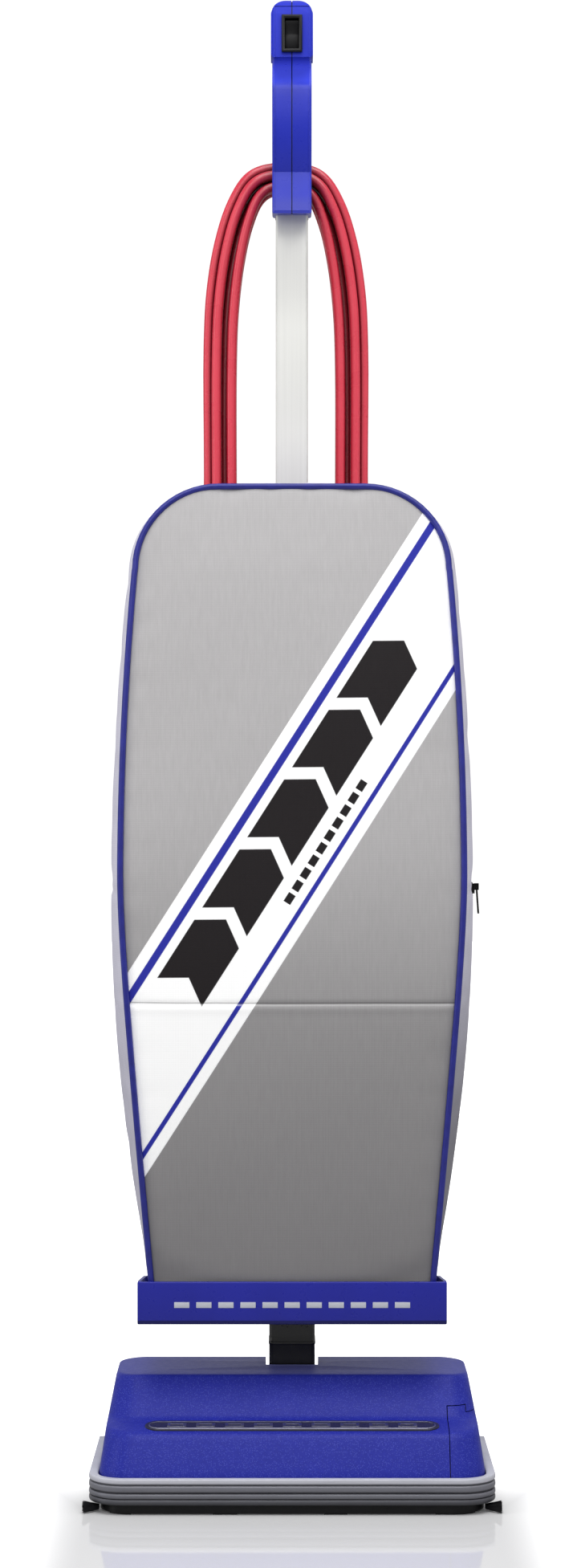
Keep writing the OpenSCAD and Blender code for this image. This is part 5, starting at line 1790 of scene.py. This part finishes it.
def filter_bag():
    """Inner paper bag with side pleats and soft buckles."""
    levels = [(142.3, 22, 20, 26), (205, 50, 27, 14), (240, 88, 36, 4), (320, 106, 43, -1),
              (600, 110, 36, 8), (700, 98, 26, 16), (750, 86, 12, 26)]
    low, high = box_mm("filter_bag")
    heights = np.linspace(low.z, high.z, 60)
    zs = [level[0] for level in levels]
    rings = []
    for z in heights:
        hx, hy, cy = (float(np.interp(z, zs, [level[i] for level in levels])) for i in (1, 2, 3))
        ring = []
        for i in range(72):
            a = 2 * pi * i / 72
            pleat = 1 - 0.10 * exp(-((sin(a)) / 0.22) ** 2) * ease((z - 215) / 60)
            buckle = 0.8 * sin(z / 13 + 5 * sin(a)) * sin(3 * a + z / 31)
            ring.append(((hx * pleat - 0.6 + 0.3 * buckle) * cos(a),
                         cy + (hy - 1.8 + buckle * 0.8) * sin(a), z))
        rings.append(ring)
    bag = loft("filter_bag_paper", rings)
    return place(bag, "handle", paper(), "paper", "filter_bag", angle=60)


# ---------------------------------------------------------------- parts that keep their CAD mesh

def dress_cad_nodes():
    """Materials for the CAD nodes that are shown as they are."""
    steel = metal("steel", "9a9a9e", 0.28, (1, 0.1, 1))
    motor = metal("motor_metal", "8b8b90", 0.38, (0.1, 1, 1))
    cast = metal("cast_alloy", "a5a5a8", 0.45)
    grey = plastic("housing_grey", "3c3c41", 0.5, 1200, 0.05)
    black = plastic("black_plastic", "1c1c1e", 0.45, 1300, 0.05)
    sole = plastic("sole_black", "111113", 0.5, 900, 0.06)
    glide = rubber("black_rubber", "161618")
    carbon = plastic("carbon", "202022", 0.6, 800, 0.05)
    zip_paint = plastic("zip_black", "0d0d0e", 0.5, 1500, 0.02, edge=0.25, shine=0.15)
    looks = {
        steel: ("sole_screws", "field_stack", "motor_bearings", "wheel_axles", "pivot_pin",
                "guard_wires", "motor_shaft", "motor_pulley", "socket_bolts", "bag_hanger",
                "hook_mount", "grip_screws"),
        motor: ("motor_can", "motor_end_bell"),
        cast: ("fan_impeller",),
        grey: ("chassis", "fan_housing", "exhaust_spigot", "intake_duct", "brush_bearings",
               "left_wheel_hub", "right_wheel_hub"),
        black: ("tube_socket", "switch_body"),
        sole: ("sole_plate",),
        glide: ("motor_mounts", "drive_belt", "bag_dock", "strain_relief"),
        carbon: ("carbon_brushes",),
        zip_paint: ("zip_slider", "zip_pull"),
        copper(): ("armature",),
        brush_wood(): ("brush_core",),
        cardboard(): ("bag_collar",),
    }
    for material, names in looks.items():
        for name in names:
            mesh = cad[name].data
            mesh.materials.clear()
            mesh.materials.append(material)
    return black, steel, zip_paint, glide


# ---------------------------------------------------------------- stage

SURROUND = 0.46
SOFT_BOXES = (
    ("top_box", (0.2, -0.9, 3.0), (0, 0, 0.4), (2.6, 2.2), 58),
    ("front_box", (-0.6, -2.6, 2.3), (0, 0, 0.7), (1.6, 1.6), 12),
    ("left_strip", (-2.0, -0.6, 1.2), (0, 0, 0.6), (0.5, 2.2), 9),
    ("right_strip", (2.0, -0.6, 1.2), (0, 0, 0.6), (0.5, 2.2), 3),
)


def studio_floor():
    """Glossy white floor that fades into the white surround away from the object."""
    s = Shader("studio_floor")
    seen = s.tree.nodes.new("ShaderNodeLightPath").outputs["Is Camera Ray"]
    x, y, _ = s.axes()
    beside = s.spread(s.math("ABSOLUTE", x), 0.155, 0.24, 0.02, 1.0, soft=True)
    behind = s.spread(y, -0.12, 0.10, soft=True)
    far_ahead = s.spread(y, -0.70, -0.32, 1.0, 0.0, soft=True)
    fade = s.math("MAXIMUM", beside, s.math("MAXIMUM", behind, far_ahead))
    tone = s.blend(s.spread(s.noise(3, 2), 0.3, 0.7), (0.80, 0.80, 0.81, 1), (0.82, 0.82, 0.825, 1))
    s.set(
        Base_Color=s.blend(seen, (0.5, 0.5, 0.5, 1), tone),
        Emission_Color=(1, 1, 1, 1),
        Emission_Strength=s.math("MULTIPLY", seen, fade),
        Roughness=0.06,
        Specular_IOR_Level=0.5,
    )
    corners = [(-9000, -9000, 0), (9000, -9000, 0), (9000, 9000, 0), (-9000, 9000, 0)]
    floor = new_object("studio_floor", corners, [(0, 1, 2, 3)])
    floor.data.materials.append(s.material)


def white_surround(scene):
    """World that looks white and lights the object softly."""
    world = bpy.data.worlds.new("white_surround")
    world.use_nodes = True
    nodes, links = world.node_tree.nodes, world.node_tree.links
    sky = nodes["Background"]
    shown = nodes.new("ShaderNodeBackground")
    for node, strength in ((sky, SURROUND), (shown, 1.05)):
        node.inputs["Color"].default_value = (1, 1, 1, 1)
        node.inputs["Strength"].default_value = strength
    choice = nodes.new("ShaderNodeMixShader")
    links.new(nodes.new("ShaderNodeLightPath").outputs["Is Camera Ray"], choice.inputs[0])
    links.new(sky.outputs[0], choice.inputs[1])
    links.new(shown.outputs[0], choice.inputs[2])
    links.new(choice.outputs[0], nodes["World Output"].inputs[0])
    scene.world = world


def soft_box(scene, name, where, aim, size, power):
    light = bpy.data.lights.new(name, "AREA")
    light.shape = "RECTANGLE"
    light.size, light.size_y = size
    light.energy = power
    obj = bpy.data.objects.new(name, light)
    obj.location = where
    direction = Vector(aim) - Vector(where)
    obj.rotation_euler = direction.to_track_quat("-Z", "Y").to_euler()
    scene.collection.objects.link(obj)


def studio():
    """Floor, surround, soft boxes and the camera."""
    scene = bpy.context.scene
    studio_floor()
    white_surround(scene)
    for box in SOFT_BOXES:
        soft_box(scene, *box)
    scene.view_settings.view_transform = "Standard"
    camera = bpy.data.cameras.new("view")
    camera.lens = 73.73
    camera.sensor_width = 36
    obj = bpy.data.objects.new("view", camera)
    obj.location = (-0.0045, -2.615, 0.570)
    obj.rotation_euler = (radians(90), 0, 0)
    scene.collection.objects.link(obj)
    scene.camera = obj


# ---------------------------------------------------------------- the whole object

black, steel, zip_paint, soft_black = dress_cad_nodes()
outer_bag()
bag_piping()
bag_tray()
tray_dashes()
swivel_neck()
handle_tube()
grip_halves()
switch_parts(
    plastic("bezel_black", "161618", 0.36, 1500, 0.02, edge=0.4, shine=0.2),
    plastic("rocker_black", "121214", 0.45, 1300, 0.03, edge=0.3, shine=0.15),
)
hood_and_cover()
bumper()
hood_badge()
fibre = bristle()
edge_brushes(fibre)
brush_bristles(fibre)
power_cord()
cord_plug(soft_black, metal("brass", "c9a65a", 0.25))
cord_hooks(black, steel)
zip_tape(plastic("zip_tape_black", "19191b", 0.75, 1800, 0.08, edge=0.2), zip_paint)
tyres(tyre_rubber())
filter_bag()
studio()
